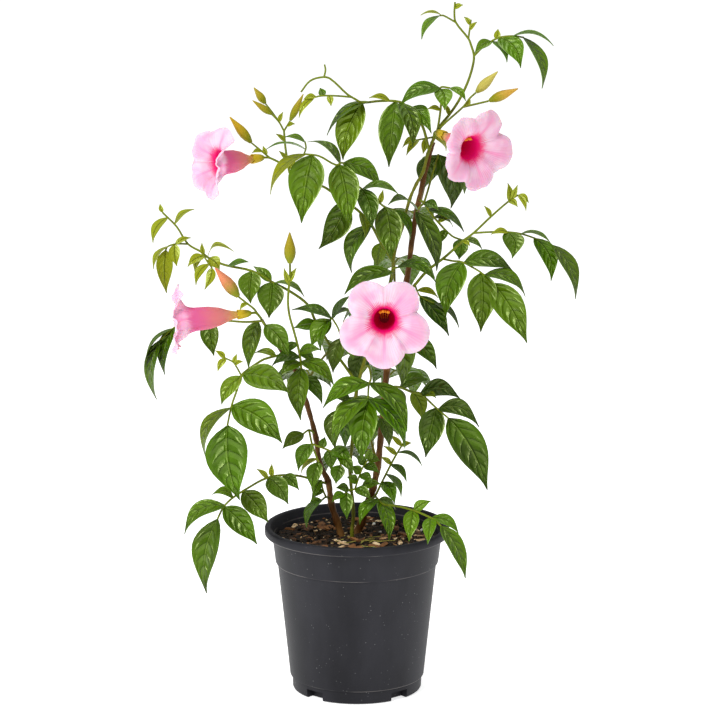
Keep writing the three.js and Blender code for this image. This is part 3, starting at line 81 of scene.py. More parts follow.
class Tone(Enum):
    """How old a leaflet is, how yellow its tissue is and how light it is drawn, partly as painted light and
    shade.
    """

    GROWN = (0.0, 0.42, 0.1)
    # Painted shade: a low light for leaves that hang in shade.
    DEEP = (0.0, 0.15, 0.0)
    # Painted light: a high light for leaves that shine in the light.
    BRIGHT = (0.0, 0.85, 0.05)
    LIGHT = (0.35, 0.75, 0.5)
    YOUNG = (0.95, 0.7, 0.4)
    UNDERSIDE = (0.1, 0.6, 0.3)


@dataclass(frozen=True)
class Sight:
    """The view in which the places of stems and leaves were read."""

    eye: Place = (2.5, -2600.0, 826.0)
    pitch: float = math.radians(11.9)
    focal: float = 3240.0
    centre: float = 360.0
    mm_per_px: float = 0.8306
    stretch: float = 1.5

    def point(self, x: float, y: float, depth: float) -> Vector:
        """Find the point seen at a place in the picture.

        Args:
            x: Picture place, px from the left.
            y: Picture place, px from the top.
            depth: How far behind the pot's axis the point lies, mm.

        Returns:
            The point, mm.
        """
        rise = (self.centre - y) / self.focal
        away = math.cos(self.pitch) + math.sin(self.pitch) * rise
        reach = (depth - self.eye[1]) / away
        across = self.eye[0] + reach * (x - self.centre) / self.focal
        height = self.eye[2] + reach * (math.cos(self.pitch) * rise - math.sin(self.pitch))
        return Vector((across, depth, height))

    def shift(self, right: float, down: float) -> Vector:
        """Return the way (mm) that is seen as a shift (px) to the right and down."""
        up = Vector((0, math.sin(self.pitch), math.cos(self.pitch)))
        return (Vector((right, 0, 0)) - up * down) * self.mm_per_px

    def drawn(self, place: Place) -> Vector:
        """Return the point of the plant (mm) at a drawn place: picture x, y and drawn depth."""
        return self.point(place[0], place[1], place[2] * self.stretch)


SIGHT = Sight()
UP = Vector((0, 0, 1))
SKYWARD = Vector((0, -0.86, 0.5))


@dataclass(frozen=True)
class Grain:
    """A noise: its fineness (per metre), its finer layers and how much finer it is along each axis."""

    scale: float
    detail: float = 3.0
    squash: Place = (1, 1, 1)


@dataclass(frozen=True)
class Mark:
    """The values between which a mark comes in or goes out, and its greatest share."""

    low: float
    high: float
    share: float = 1.0


class Shader:
    """A material's node tree, built up value by value."""

    def __init__(self, name: str) -> None:
        """Start a material of this name with one Principled shader."""
        self.material = bpy.data.materials.new(name)
        self.material.use_nodes = True
        self.tree = self.material.node_tree
        self.surface = self.tree.nodes["Principled BSDF"]

    def node(self, kind: str, inputs: dict[int | str, object], **settings: object) -> bpy.types.Node:
        """Add a node.

        Args:
            kind: The node's type, without its ShaderNode prefix.
            inputs: What feeds its inputs, by their number or name.
            settings: Values for the node's own properties.

        Returns:
            The new node.
        """
        made = self.tree.nodes.new(f"ShaderNode{kind}")
        for name, value in settings.items():
            setattr(made, name, value)
        for key, value in inputs.items():
            self.feed(made.inputs[key], value)
        return made

    def feed(self, socket: Socket, value: object) -> None:
        """Link a socket to another node's output, or set it to a number or colour.

        Args:
            socket: The input to feed.
            value: An output socket, a number or a colour.
        """
        if isinstance(value, Socket):
            self.tree.links.new(value, socket)
        elif isinstance(value, tuple) and len(value) == 3 and socket.type == "RGBA":
            socket.default_value = (*value, 1.0)
        else:
            socket.default_value = value

    def math(self, operation: str, *values: object) -> Socket:
        """Return the result of a Math node on the given values."""
        return self.node("Math", dict(enumerate(values)), operation=operation).outputs[0]

    def plus(self, first: object, second: object) -> Socket:
        """Return the sum of two values."""
        return self.math("ADD", first, second)

    def minus(self, first: object, second: object) -> Socket:
        """Return the first value less the second."""
        return self.math("SUBTRACT", first, second)

    def times(self, first: object, second: object) -> Socket:
        """Return the product of two values."""
        return self.math("MULTIPLY", first, second)

    def rest(self, share: object) -> Socket:
        """Return what a share leaves of 1."""
        return self.minus(1.0, share)

    def swing(self, value: object, size: float) -> Socket:
        """Return a value about 0.5 as one about 0, times a size."""
        return self.times(self.minus(value, 0.5), size)

    def rising(self, value: object, mark: Mark) -> Socket:
        """Return a soft step that rises from 0 to the mark's share as the value rises."""
        inputs = dict(enumerate((value, mark.low, mark.high, 0.0, mark.share)))
        return self.node("MapRange", inputs, interpolation_type="SMOOTHSTEP").outputs[0]

    def falling(self, value: object, mark: Mark) -> Socket:
        """Return a soft step that falls from the mark's share to 0 as the value rises."""
        return self.minus(mark.share, self.rising(value, mark))

    def mix(self, share: object, first: object, second: object) -> Socket:
        """Return a colour between two, by a share from 0 to 1."""
        return self.node("Mix", {0: share, 6: first, 7: second}, data_type="RGBA").outputs[2]

    def position(self) -> Socket:
        """Return the Object coordinates."""
        return self.node("TexCoord", {}).outputs["Object"]

    def parts(self, vector: Socket) -> list[Socket]:
        """Return the three numbers of a vector."""
        return list(self.node("SeparateXYZ", {0: vector}).outputs)

    def attribute(self, name: str) -> list[Socket]:
        """Return the three numbers of a point attribute of the piece."""
        return self.parts(self.node("Attribute", {}, attribute_name=name).outputs["Vector"])

    def noise(self, grain: Grain) -> Socket:
        """Return a noise of this grain over Object coordinates, about 0.5."""
        place = self.node("Mapping", {"Vector": self.position(), "Scale": grain.squash}).outputs[0]
        inputs = {"Vector": place, "Scale": grain.scale, "Detail": grain.detail}
        return self.node("TexNoise", inputs).outputs[0]

    def cells(self, scale: float) -> Socket:
        """Return the distance to the middle of the nearest Voronoi cell over Object coordinates."""
        return self.node("TexVoronoi", {"Vector": self.position(), "Scale": scale}).outputs[0]

    def relief(self, height: object, depth: float, strength: float = 1.0) -> None:
        """Give the surface a bump of a height, to a depth in metres."""
        bump = self.node("Bump", {"Distance": depth, "Strength": strength, "Height": height})
        self.feed(self.surface.inputs["Normal"], bump.outputs[0])

    def finish(self, colour: object, roughness: object, **constants: object) -> Material:
        """Set the surface's colour, roughness and constants, and return the material.

        Args:
            colour: Colour or colour socket.
            roughness: Number or socket.
            constants: Other inputs of the shader, with _ for the space in their names.

        Returns:
            The material.
        """
        for name, value in {"Base Color": colour, "Roughness": roughness, **constants}.items():
            self.feed(self.surface.inputs[name.replace("_", " ")], value)
        return self.material


@dataclass(frozen=True)
class LeafFinish:
    """Leaf tissue with curved side veins, a pale midrib and painted shade in the vein creases.

    A mark's values run from vein (0) to gap (1) for the crease, from midrib (0) to edge (1) for the
    margin, the rib and the groove, and are the blade's length (mm) for the grown mark.
    """

    name: str
    deep: Colour
    lit: Colour
    young: Colour
    vein: Colour
    warm: Colour = srgb(104, 120, 4)
    warm_share: float = 0.45
    mottle: Grain = Grain(38.0)
    mottle_mark: Mark = Mark(0.35, 0.65)
    mottle_size: float = 0.4
    veins: float = 6.0
    slope: float = 0.23
    curve: float = 1.6
    wander: Grain = Grain(70.0, 2.0)
    wander_size: float = 0.05
    grown: Mark = Mark(20.0, 50.0, 0.85)
    small_share: float = 0.15
    youth_loss: float = 0.6
    margin: Mark = Mark(0.5, 0.95)
    # Painted shade: the blade darkens by up to this share in its sunken vein creases.
    crease: Mark = Mark(0.02, 0.4, 0.24)
    rib: Mark = Mark(0.015, 0.06, 0.3)
    quilt: float = 0.0019
    puff: float = 0.6
    groove: Mark = Mark(0.0, 0.14, 0.7)
    pores: Grain = Grain(700.0)
    pore_depth: float = 0.03
    gloss: float = 0.23
    smear: Grain = Grain(160.0)
    smear_size: float = 0.14
    shine: float = 0.6
    sheen: Colour = (0.84, 1.0, 0.4)

    def make(self) -> Material:
        """Return the material: it reads the points' place and tone attributes."""
        shader = Shader(self.name)
        across, along, length = shader.attribute("place")
        youth, light, hue = shader.attribute("tone")
        side = shader.math("ABSOLUTE", across)
        bend = shader.times(shader.math("POWER", side, self.curve), self.slope)
        wander = shader.swing(shader.noise(self.wander), self.wander_size)
        run = shader.plus(shader.minus(along, bend), wander)
        gap = shader.times(shader.math("PINGPONG", shader.times(run, self.veins), 0.5), 2.0)
        old = shader.rest(shader.times(youth, self.youth_loss))
        grown = shader.plus(self.small_share, shader.rising(length, self.grown))
        fade = shader.times(shader.falling(side, self.margin), shader.times(grown, old))
        # The tone's light, partly painted light and shade, mixes the deep and lit greens of the whole
        # leaflet.
        patch = shader.rising(shader.noise(self.mottle), self.mottle_mark)
        shade = shader.plus(light, shader.swing(patch, self.mottle_size))
        colour = shader.mix(shade, self.deep, self.lit)
        colour = shader.mix(shader.times(hue, self.warm_share), colour, self.warm)
        colour = shader.mix(youth, colour, self.young)
        # Painted shade in the sunken vein creases.
        crease = shader.times(shader.falling(gap, self.crease), fade)
        colour = shader.mix(crease, colour, shaded(self.deep))
        colour = shader.mix(shader.falling(side, self.rib), colour, self.vein)
        pillow = shader.times(shader.math("POWER", gap, self.puff), fade)
        groove = shader.falling(side, self.groove)
        fine = shader.times(shader.noise(self.pores), self.pore_depth)
        shader.relief(shader.plus(shader.minus(pillow, groove), fine), self.quilt)
        rough = shader.plus(self.gloss, shader.times(shader.noise(self.smear), self.smear_size))
        return shader.finish(colour, rough, Specular_IOR_Level=self.shine, Specular_Tint=self.sheen)


@dataclass(frozen=True)
class StemFinish:
    """Bark or green rind with lengthwise grain; youth turns it green."""

    name: str
    bark: Colour
    pale: Colour
    green: Colour
    blotch: Grain = Grain(45.0)
    blotch_mark: Mark = Mark(0.48, 0.68, 0.75)
    streak: Grain = Grain(260.0, 4.0, (1, 1, 0.16))
    crack: Mark = Mark(0.5, 0.75, 0.5)

    def make(self) -> Material:
        """Return the material."""
        shader = Shader(self.name)
        youth, _, _ = shader.attribute("tone")
        streak = shader.noise(self.streak)
        blotch = shader.rising(shader.noise(self.blotch), self.blotch_mark)
        colour = shader.mix(blotch, self.bark, self.pale)
        colour = shader.mix(youth, colour, self.green)
        colour = shader.mix(shader.rising(streak, self.crack), colour, shaded(self.bark))
        shader.relief(streak, depth=0.0006)
        return shader.finish(colour, roughness=0.5, Specular_IOR_Level=0.25, Specular_Tint=(1.0, 0.95, 0.55))


@dataclass(frozen=True)
class BudFinish:
    """Smooth rind that changes from foot to tip; the tone's youth makes it paler."""

    name: str
    foot: Colour
    tip: Colour
    pale: Colour
    gold: Colour = srgb(172, 146, 6)
    turn: Mark = Mark(0.1, 0.75)
    cup: Colour = srgb(120, 128, 20)
    cup_mark: Mark = Mark(0.1, 0.26, 0.8)
    speckle: Grain = Grain(420.0)
    speckle_size: float = 0.35
    skin: Grain = Grain(700.0, 2.0)

    def make(self) -> Material:
        """Return the material."""
        shader = Shader(self.name)
        _, along, _ = shader.attribute("place")
        youth, light, golden = shader.attribute("tone")
        place = shader.plus(along, shader.swing(shader.noise(self.speckle), self.speckle_size))
        share = shader.rising(place, self.turn)
        colour = shader.mix(shader.times(share, golden), self.foot, self.gold)
        colour = shader.mix(shader.times(share, light), colour, self.tip)
        colour = shader.mix(youth, colour, self.pale)
        colour = shader.mix(shader.falling(place, self.cup_mark), colour, self.cup)
        shader.relief(shader.noise(self.skin), depth=0.0002)
        return shader.finish(colour, roughness=0.42, Specular_IOR_Level=0.3, Specular_Tint=(1.0, 0.95, 0.5))


@dataclass(frozen=True)
class PetalFinish:
    """Petal tissue by its place along the trumpet: throat or tube, then the pale limb.

    A mark's values run from the lobe's middle (0) to its side (1) for the middle and the crease, and
    from mouth (0) to rim (1) for the inner part and the hem.
    """

    name: str
    foot: Colour
    tube: Colour
    mouth: Colour
    limb: Colour
    edge: Colour
    fold: Colour = srgb(226, 120, 172)
    foot_at: float = 0.02
    tube_share: float = 0.6
    mouth_at: float = 0.56
    melt: float = 0.09
    grain: Grain = Grain(240.0, 4.0)
    grain_size: float = 0.08
    cloud: Grain = Grain(55.0, 2.0)
    cloud_mark: Mark = Mark(0.38, 0.62)
    middle: Mark = Mark(0.0, 0.5, 0.45)
    crease: Mark = Mark(0.02, 0.22, 0.6)
    inner: Mark = Mark(0.25, 0.95)
    vein: Mark = Mark(0.62, 0.95, 0.2)
    hem: Mark = Mark(0.72, 1.0, 0.7)
    rays: float = 2.4
    ray_waver: float = 2.2
    ray_lean: float = 0.25
    ray_middle: float = 0.35
    streaks: float = 0.07
    ripple: float = 0.3
    # Strength of the painted light: the petal glows with its own colour inside the tube.
    glow: float = 0.0
    glow_reach: Band = (-0.1, 0.03)

    def ray(self, shader: Shader, lobe: Socket, along: Socket) -> Socket:
        """Return the value of the fine rays that run out over each lobe."""
        place = shader.node("CombineXYZ", {0: lobe, 1: shader.times(along, self.ray_lean)}).outputs[0]
        inputs = {"Vector": place, "Scale": self.rays, "Distortion": self.ray_waver}
        return shader.node("TexWave", inputs, wave_type="BANDS", bands_direction="X").outputs[1]

    def pale(self, shader: Shader, lobe: Socket, limb: Socket, ray: Socket) -> Socket:
        """Return the colour of the limb.

        Args:
            shader: The material's shader.
            lobe: The place in the lobe, from -1 to 1.
            limb: The share of the limb.
            ray: The value of the rays.

        Returns:
            The colour.
        """
        colour = shader.mix(shader.rising(shader.noise(self.cloud), self.cloud_mark), self.limb, self.edge)
        side = shader.math("ABSOLUTE", lobe)
        colour = shader.mix(shader.falling(side, self.middle), colour, self.limb)
        inner = shader.falling(limb, self.inner)
        crease = shader.times(shader.falling(side, self.crease), inner)
        colour = shader.mix(crease, colour, self.fold)
        veins = shader.times(shader.rising(ray, self.vein), inner)
        colour = shader.mix(veins, colour, self.fold)
        return shader.mix(shader.rising(limb, self.hem), colour, self.edge)

    def make(self) -> Material:
        """Return the material: place holds the lobe's side, the share along and the share of the limb."""
        shader = Shader(self.name)
        lobe, along, limb = shader.attribute("place")
        grain = shader.noise(self.grain)
        ray = self.ray(shader, lobe, along)
        place = shader.plus(along, shader.swing(grain, self.grain_size))
        tube_at = self.mouth_at * self.tube_share
        colour = shader.mix(shader.rising(place, Mark(self.foot_at, tube_at)), self.foot, self.tube)
        colour = shader.mix(shader.rising(place, Mark(tube_at, self.mouth_at)), colour, self.mouth)
        streak = shader.times(shader.minus(ray, self.ray_middle), self.streaks)
        place = shader.minus(place, streak)
        limb_share = shader.rising(place, Mark(self.mouth_at, self.mouth_at + self.melt))
        colour = shader.mix(limb_share, colour, self.pale(shader, lobe, limb, ray))
        shader.relief(shader.plus(shader.times(ray, self.ripple), grain), depth=0.0004, strength=0.6)
        # Painted light: inside the tube the petal glows with its own colour; the limb doesn't glow.
        deep = shader.falling(place, Mark(*(self.mouth_at + reach for reach in self.glow_reach)))
        shader.feed(shader.surface.inputs["Emission Color"], shader.mix(deep, (0.0, 0.0, 0.0), colour))
        return shader.finish(
            colour, roughness=0.6, Specular_IOR_Level=0.2, Subsurface_Weight=0.35,
            Subsurface_Scale=0.004, Emission_Strength=self.glow,
        )


@dataclass(frozen=True)
class PlainFinish:
    """Anthers, chips, beads and other small grains: a colour that varies over its surface."""

    name: str
    dark: Colour
    light: Colour
    scale: float
    depth: float
    gloss: float = 0.8
    detail: float = 5.0
    own_share: float = 0.5
    grain_middle: float = 0.25
    light_mark: Mark = Mark(0.1, 0.9)

    def make(self) -> Material:
        """Return the material."""
        shader = Shader(self.name)
        grain = shader.noise(Grain(self.scale, self.detail))
        _, own, _ = shader.attribute("tone")
        share = shader.plus(shader.times(own, self.own_share), shader.minus(grain, self.grain_middle))
        colour = shader.mix(shader.rising(share, self.light_mark), self.dark, self.light)
        shader.relief(grain, self.depth)
        return shader.finish(colour, self.gloss)


@dataclass(frozen=True)
class PotFinish:
    """Black moulded plastic with a bluish sheen, flow marks and a few pale specks."""

    name: str = "pot_plastic"
    dark: Colour = srgb(26, 26, 30)
    light: Colour = srgb(43, 43, 48)
    flow: Grain = Grain(22.0, 4.0, (1, 1, 0.35))
    flow_mark: Mark = Mark(0.3, 0.75)
    speck: Colour = srgb(128, 128, 128)
    speck_scale: float = 300.0
    speck_mark: Mark = Mark(0.08, 0.16, 0.5)
    sparse: Grain = Grain(75.0, 2.0)
    sparse_mark: Mark = Mark(0.48, 0.66)
    seam: Colour = srgb(110, 106, 104)
    # Heights of the moulding seams and how far from them they fade, mm.
    seams: tuple[float, ...] = (11.2, 107.9, 131.6)
    seam_fade: Band = (0.25, 0.6)
    seam_share: float = 0.7
    wear: Grain = Grain(28.0, 2.0)
    wear_mark: Mark = Mark(0.35, 0.6)
    scuff: Grain = Grain(1400.0, 2.0)
    scuff_share: float = 0.35
    gloss: float = 0.44
    gloss_spread: float = 0.14

    def make(self) -> Material:
        """Return the material."""
        shader = Shader(self.name)
        flow = shader.noise(self.flow)
        colour = shader.mix(shader.rising(flow, self.flow_mark), self.dark, self.light)
        speck = shader.falling(shader.cells(self.speck_scale), self.speck_mark)
        sparse = shader.rising(shader.noise(self.sparse), self.sparse_mark)
        colour = shader.mix(shader.times(speck, sparse), colour, self.speck)
        _, _, height = shader.parts(shader.position())
        near, far = self.seam_fade
        seam_mark = Mark(near * MM, far * MM, self.seam_share)
        for seam in self.seams:
            off = shader.math("ABSOLUTE", shader.minus(height, seam * MM))
            worn = shader.rising(shader.noise(self.wear), self.wear_mark)
            line = shader.times(shader.falling(off, seam_mark), worn)
            colour = shader.mix(line, colour, self.seam)
        scuff = shader.times(shader.noise(self.scuff), self.scuff_share)
        shader.relief(shader.plus(scuff, flow), depth=0.0003, strength=0.6)
        rough = shader.plus(self.gloss, shader.times(flow, self.gloss_spread))
        return shader.finish(colour, rough, IOR=1.22)


@dataclass(frozen=True)
class SoilFinish:
    """Damp potting mix: near black crumb with brown fibres."""

    name: str = "potting_mix"
    dark: Colour = srgb(16, 12, 9)
    brown: Colour = srgb(54, 38, 24)
    fibre: Colour = srgb(124, 96, 58)
    crumb: Grain = Grain(230.0, 6.0)
    crumb_mark: Mark = Mark(0.42, 0.62)
    fibres: Grain = Grain(520.0, 2.0)
    fibre_mark: Mark = Mark(0.6, 0.72, 0.5)
    cell_scale: float = 330.0
    cell_share: float = 0.8

    def make(self) -> Material:
        """Return the material."""
        shader = Shader(self.name)
        crumb = shader.noise(self.crumb)
        colour = shader.mix(shader.rising(crumb, self.crumb_mark), self.dark, self.brown)
        fibres = shader.rising(shader.noise(self.fibres), self.fibre_mark)
        colour = shader.mix(fibres, colour, self.fibre)
        cell = shader.times(shader.cells(self.cell_scale), self.cell_share)
        shader.relief(shader.plus(crumb, cell), depth=0.003)
        return shader.finish(colour, roughness=0.85, Specular_IOR_Level=0.3)


@dataclass(frozen=True)
class FloorFinish:
    """The studio's plain white ground."""

    name: str = "studio_white"
    dull: Colour = (0.9, 0.9, 0.9)
    bright: Colour = (0.93, 0.93, 0.93)
    cloud: Grain = Grain(3.0)
    gloss: float = 0.9
    glow: float = 0.7

    def make(self) -> Material:
        """Return the material."""
        shader = Shader(self.name)
        colour = shader.mix(shader.noise(self.cloud), self.dull, self.bright)
        return shader.finish(
            colour, self.gloss, Specular_IOR_Level=0.0, Emission_Color=(1.0, 1.0, 1.0),
            Emission_Strength=self.glow,
        )


@dataclass(frozen=True)
class Palette:
    """Every material of the plant and its pot, made once."""

    leaf: Material
    underside: Material
    stem: Material
    bud: Material
    calyx: Material
    petal_inside: Material
    petal_outside: Material
    anther: Material
    throat: Material
    pot: Material
    soil: Material
    bark: Material
    wood: Material
    perlite: Material
    rootlet: Material

    @staticmethod
    def make() -> "Palette":
        """Return the palette with all its materials made."""
        young = srgb(132, 140, 16)
        return Palette(
            leaf=LeafFinish("leaf_top", srgb(22, 52, 0), srgb(76, 119, 0), young, srgb(128, 156, 58)).make(),
            underside=LeafFinish(
                "leaf_underside", srgb(96, 118, 42), srgb(138, 156, 64), srgb(172, 184, 74),
                # The underside has fainter painted shade in its vein creases.
                srgb(186, 192, 110), crease=Mark(0.02, 0.4, 0.1), quilt=-0.0007, gloss=0.5, shine=0.2,
            ).make(),
            stem=StemFinish("stem_rind", srgb(84, 48, 18), srgb(140, 100, 54), srgb(104, 118, 22)).make(),
            bud=BudFinish("bud_rind", srgb(120, 124, 6), srgb(204, 124, 90), srgb(176, 164, 82)).make(),
            calyx=BudFinish(
                "calyx_rind", srgb(134, 134, 16), srgb(192, 160, 34), srgb(226, 196, 140),
                cup_mark=Mark(0.1, 0.26, 0.3),
            ).make(),
            petal_inside=PetalFinish(
                "petal_inside", srgb(120, 0, 24), srgb(168, 0, 44), srgb(214, 0, 104),
                # The inside glows with painted light in its tube.
                srgb(216, 160, 190), srgb(222, 192, 208), glow=0.22,
            ).make(),
            petal_outside=PetalFinish(
                "petal_outside", srgb(192, 158, 62), srgb(204, 114, 114), srgb(200, 86, 136),
                srgb(226, 160, 194), srgb(232, 196, 214), mouth_at=0.52, melt=0.12,
            ).make(),
            anther=PlainFinish("anther", srgb(186, 100, 8), srgb(232, 166, 34), 900.0, 0.0003, 0.6).make(),
            throat=PlainFinish("throat_disc", srgb(120, 0, 24), srgb(150, 0, 40), 400.0, 0.0002, 0.7).make(),
            pot=PotFinish().make(),
            soil=SoilFinish().make(),
            bark=PlainFinish("bark_chip", srgb(24, 15, 9), srgb(150, 98, 52), 150.0, 0.0008).make(),
            wood=PlainFinish("pale_wood", srgb(164, 116, 66), srgb(248, 222, 178), 240.0, 0.0005).make(),
            perlite=PlainFinish("perlite", srgb(196, 192, 184), srgb(240, 238, 232), 500.0, 0.0005).make(),
            rootlet=PlainFinish("rootlet", srgb(120, 112, 40), srgb(182, 172, 84), 400.0, 0.0003).make(),
        )


@dataclass(frozen=True)
class Cane:
    """A woody stem as drawn: its first and last radius (mm) and its path of places."""

    name: str
    radii: tuple[float, float]
    path: tuple[Place, ...]


@dataclass(frozen=True)
class Spray:
    """A leafy stem or compound leaf as drawn.

    A twig is first radius (mm), last radius and path. A leaflet is root x, y, tip x, y, seen width
    (px), drawn reach of its tip behind its root and, where it doesn't droop by rule, the place of
    its middle. A bud is foot x, y, tip x, y, width (px), drawn depth and reach.
    """

    name: str
    twigs: tuple[tuple[float, float, tuple[Place, ...]], ...]
    leaflets: tuple[Place, ...]
    buds: tuple[Place, ...] = ()


@dataclass(frozen=True)
class Flower:
    """A trumpet flower: drawn place of its foot, place of its mouth, and its five lobes.

    The third number of the mouth is how far (mm) it lies behind the foot. A lobe is its angle about
    the axis (degrees), its reach from the axis (mm) and how far it leans forward (degrees).
    """

    name: str
    foot: Place
    mouth: Place
    lobes: tuple[Place, ...]
    open: bool = False


@dataclass(frozen=True)
class BackShoot:
    """A leafy stem at the back: where it leaves its cane, its lean (degrees) and its size (mm)."""

    name: str
    cane: str
    start: tuple[float, float]
    azimuth: float
    height: float
    out: float
    leaves: int = 2


CANES: tuple[Cane, ...] = (
    Cane("cane_left", radii=(3.3, 1.2), path=(
        (345, 575, 0), (341, 536, 0), (337, 521, 0), (331.5, 504.5, 0), (328, 481, -1), (320, 465, -2),
        (316, 438, -4), (306.5, 403, -7), (297, 375, -9), (288.5, 357, -11), (281.5, 351, -12),
        (268, 330, -14), (262, 320, -14),
    )),
    Cane("cane_right", radii=(3.4, 1.9), path=(
        (352, 575, 6), (356, 534, 6), (361, 524, 6), (367, 505, 5), (373, 488, 4), (377.5, 467, 3),
        (381.5, 430, 2), (383.5, 410, 2), (387, 370, 2), (396, 325, 2), (406.5, 282, 2), (413, 232, 2),
        (417.7, 206, 2), (423, 182, 2), (427, 165, 3), (433, 142, 5),
    )),
    Cane("cane_middle", radii=(1.5, 1.3), path=(
        (354, 570, -8), (352, 532, -8), (353.5, 513, -8), (350, 470, -8), (352, 446, -8), (356, 395, -8),
        (362, 370, -8), (377, 320, -7), (391.6, 278, -6), (394, 255, -6), (402, 228, -6), (409.8, 199, -6),
        (416.4, 184, -6), (423, 172, -6), (427.7, 154, -6), (434, 138, -6),
    )),
)

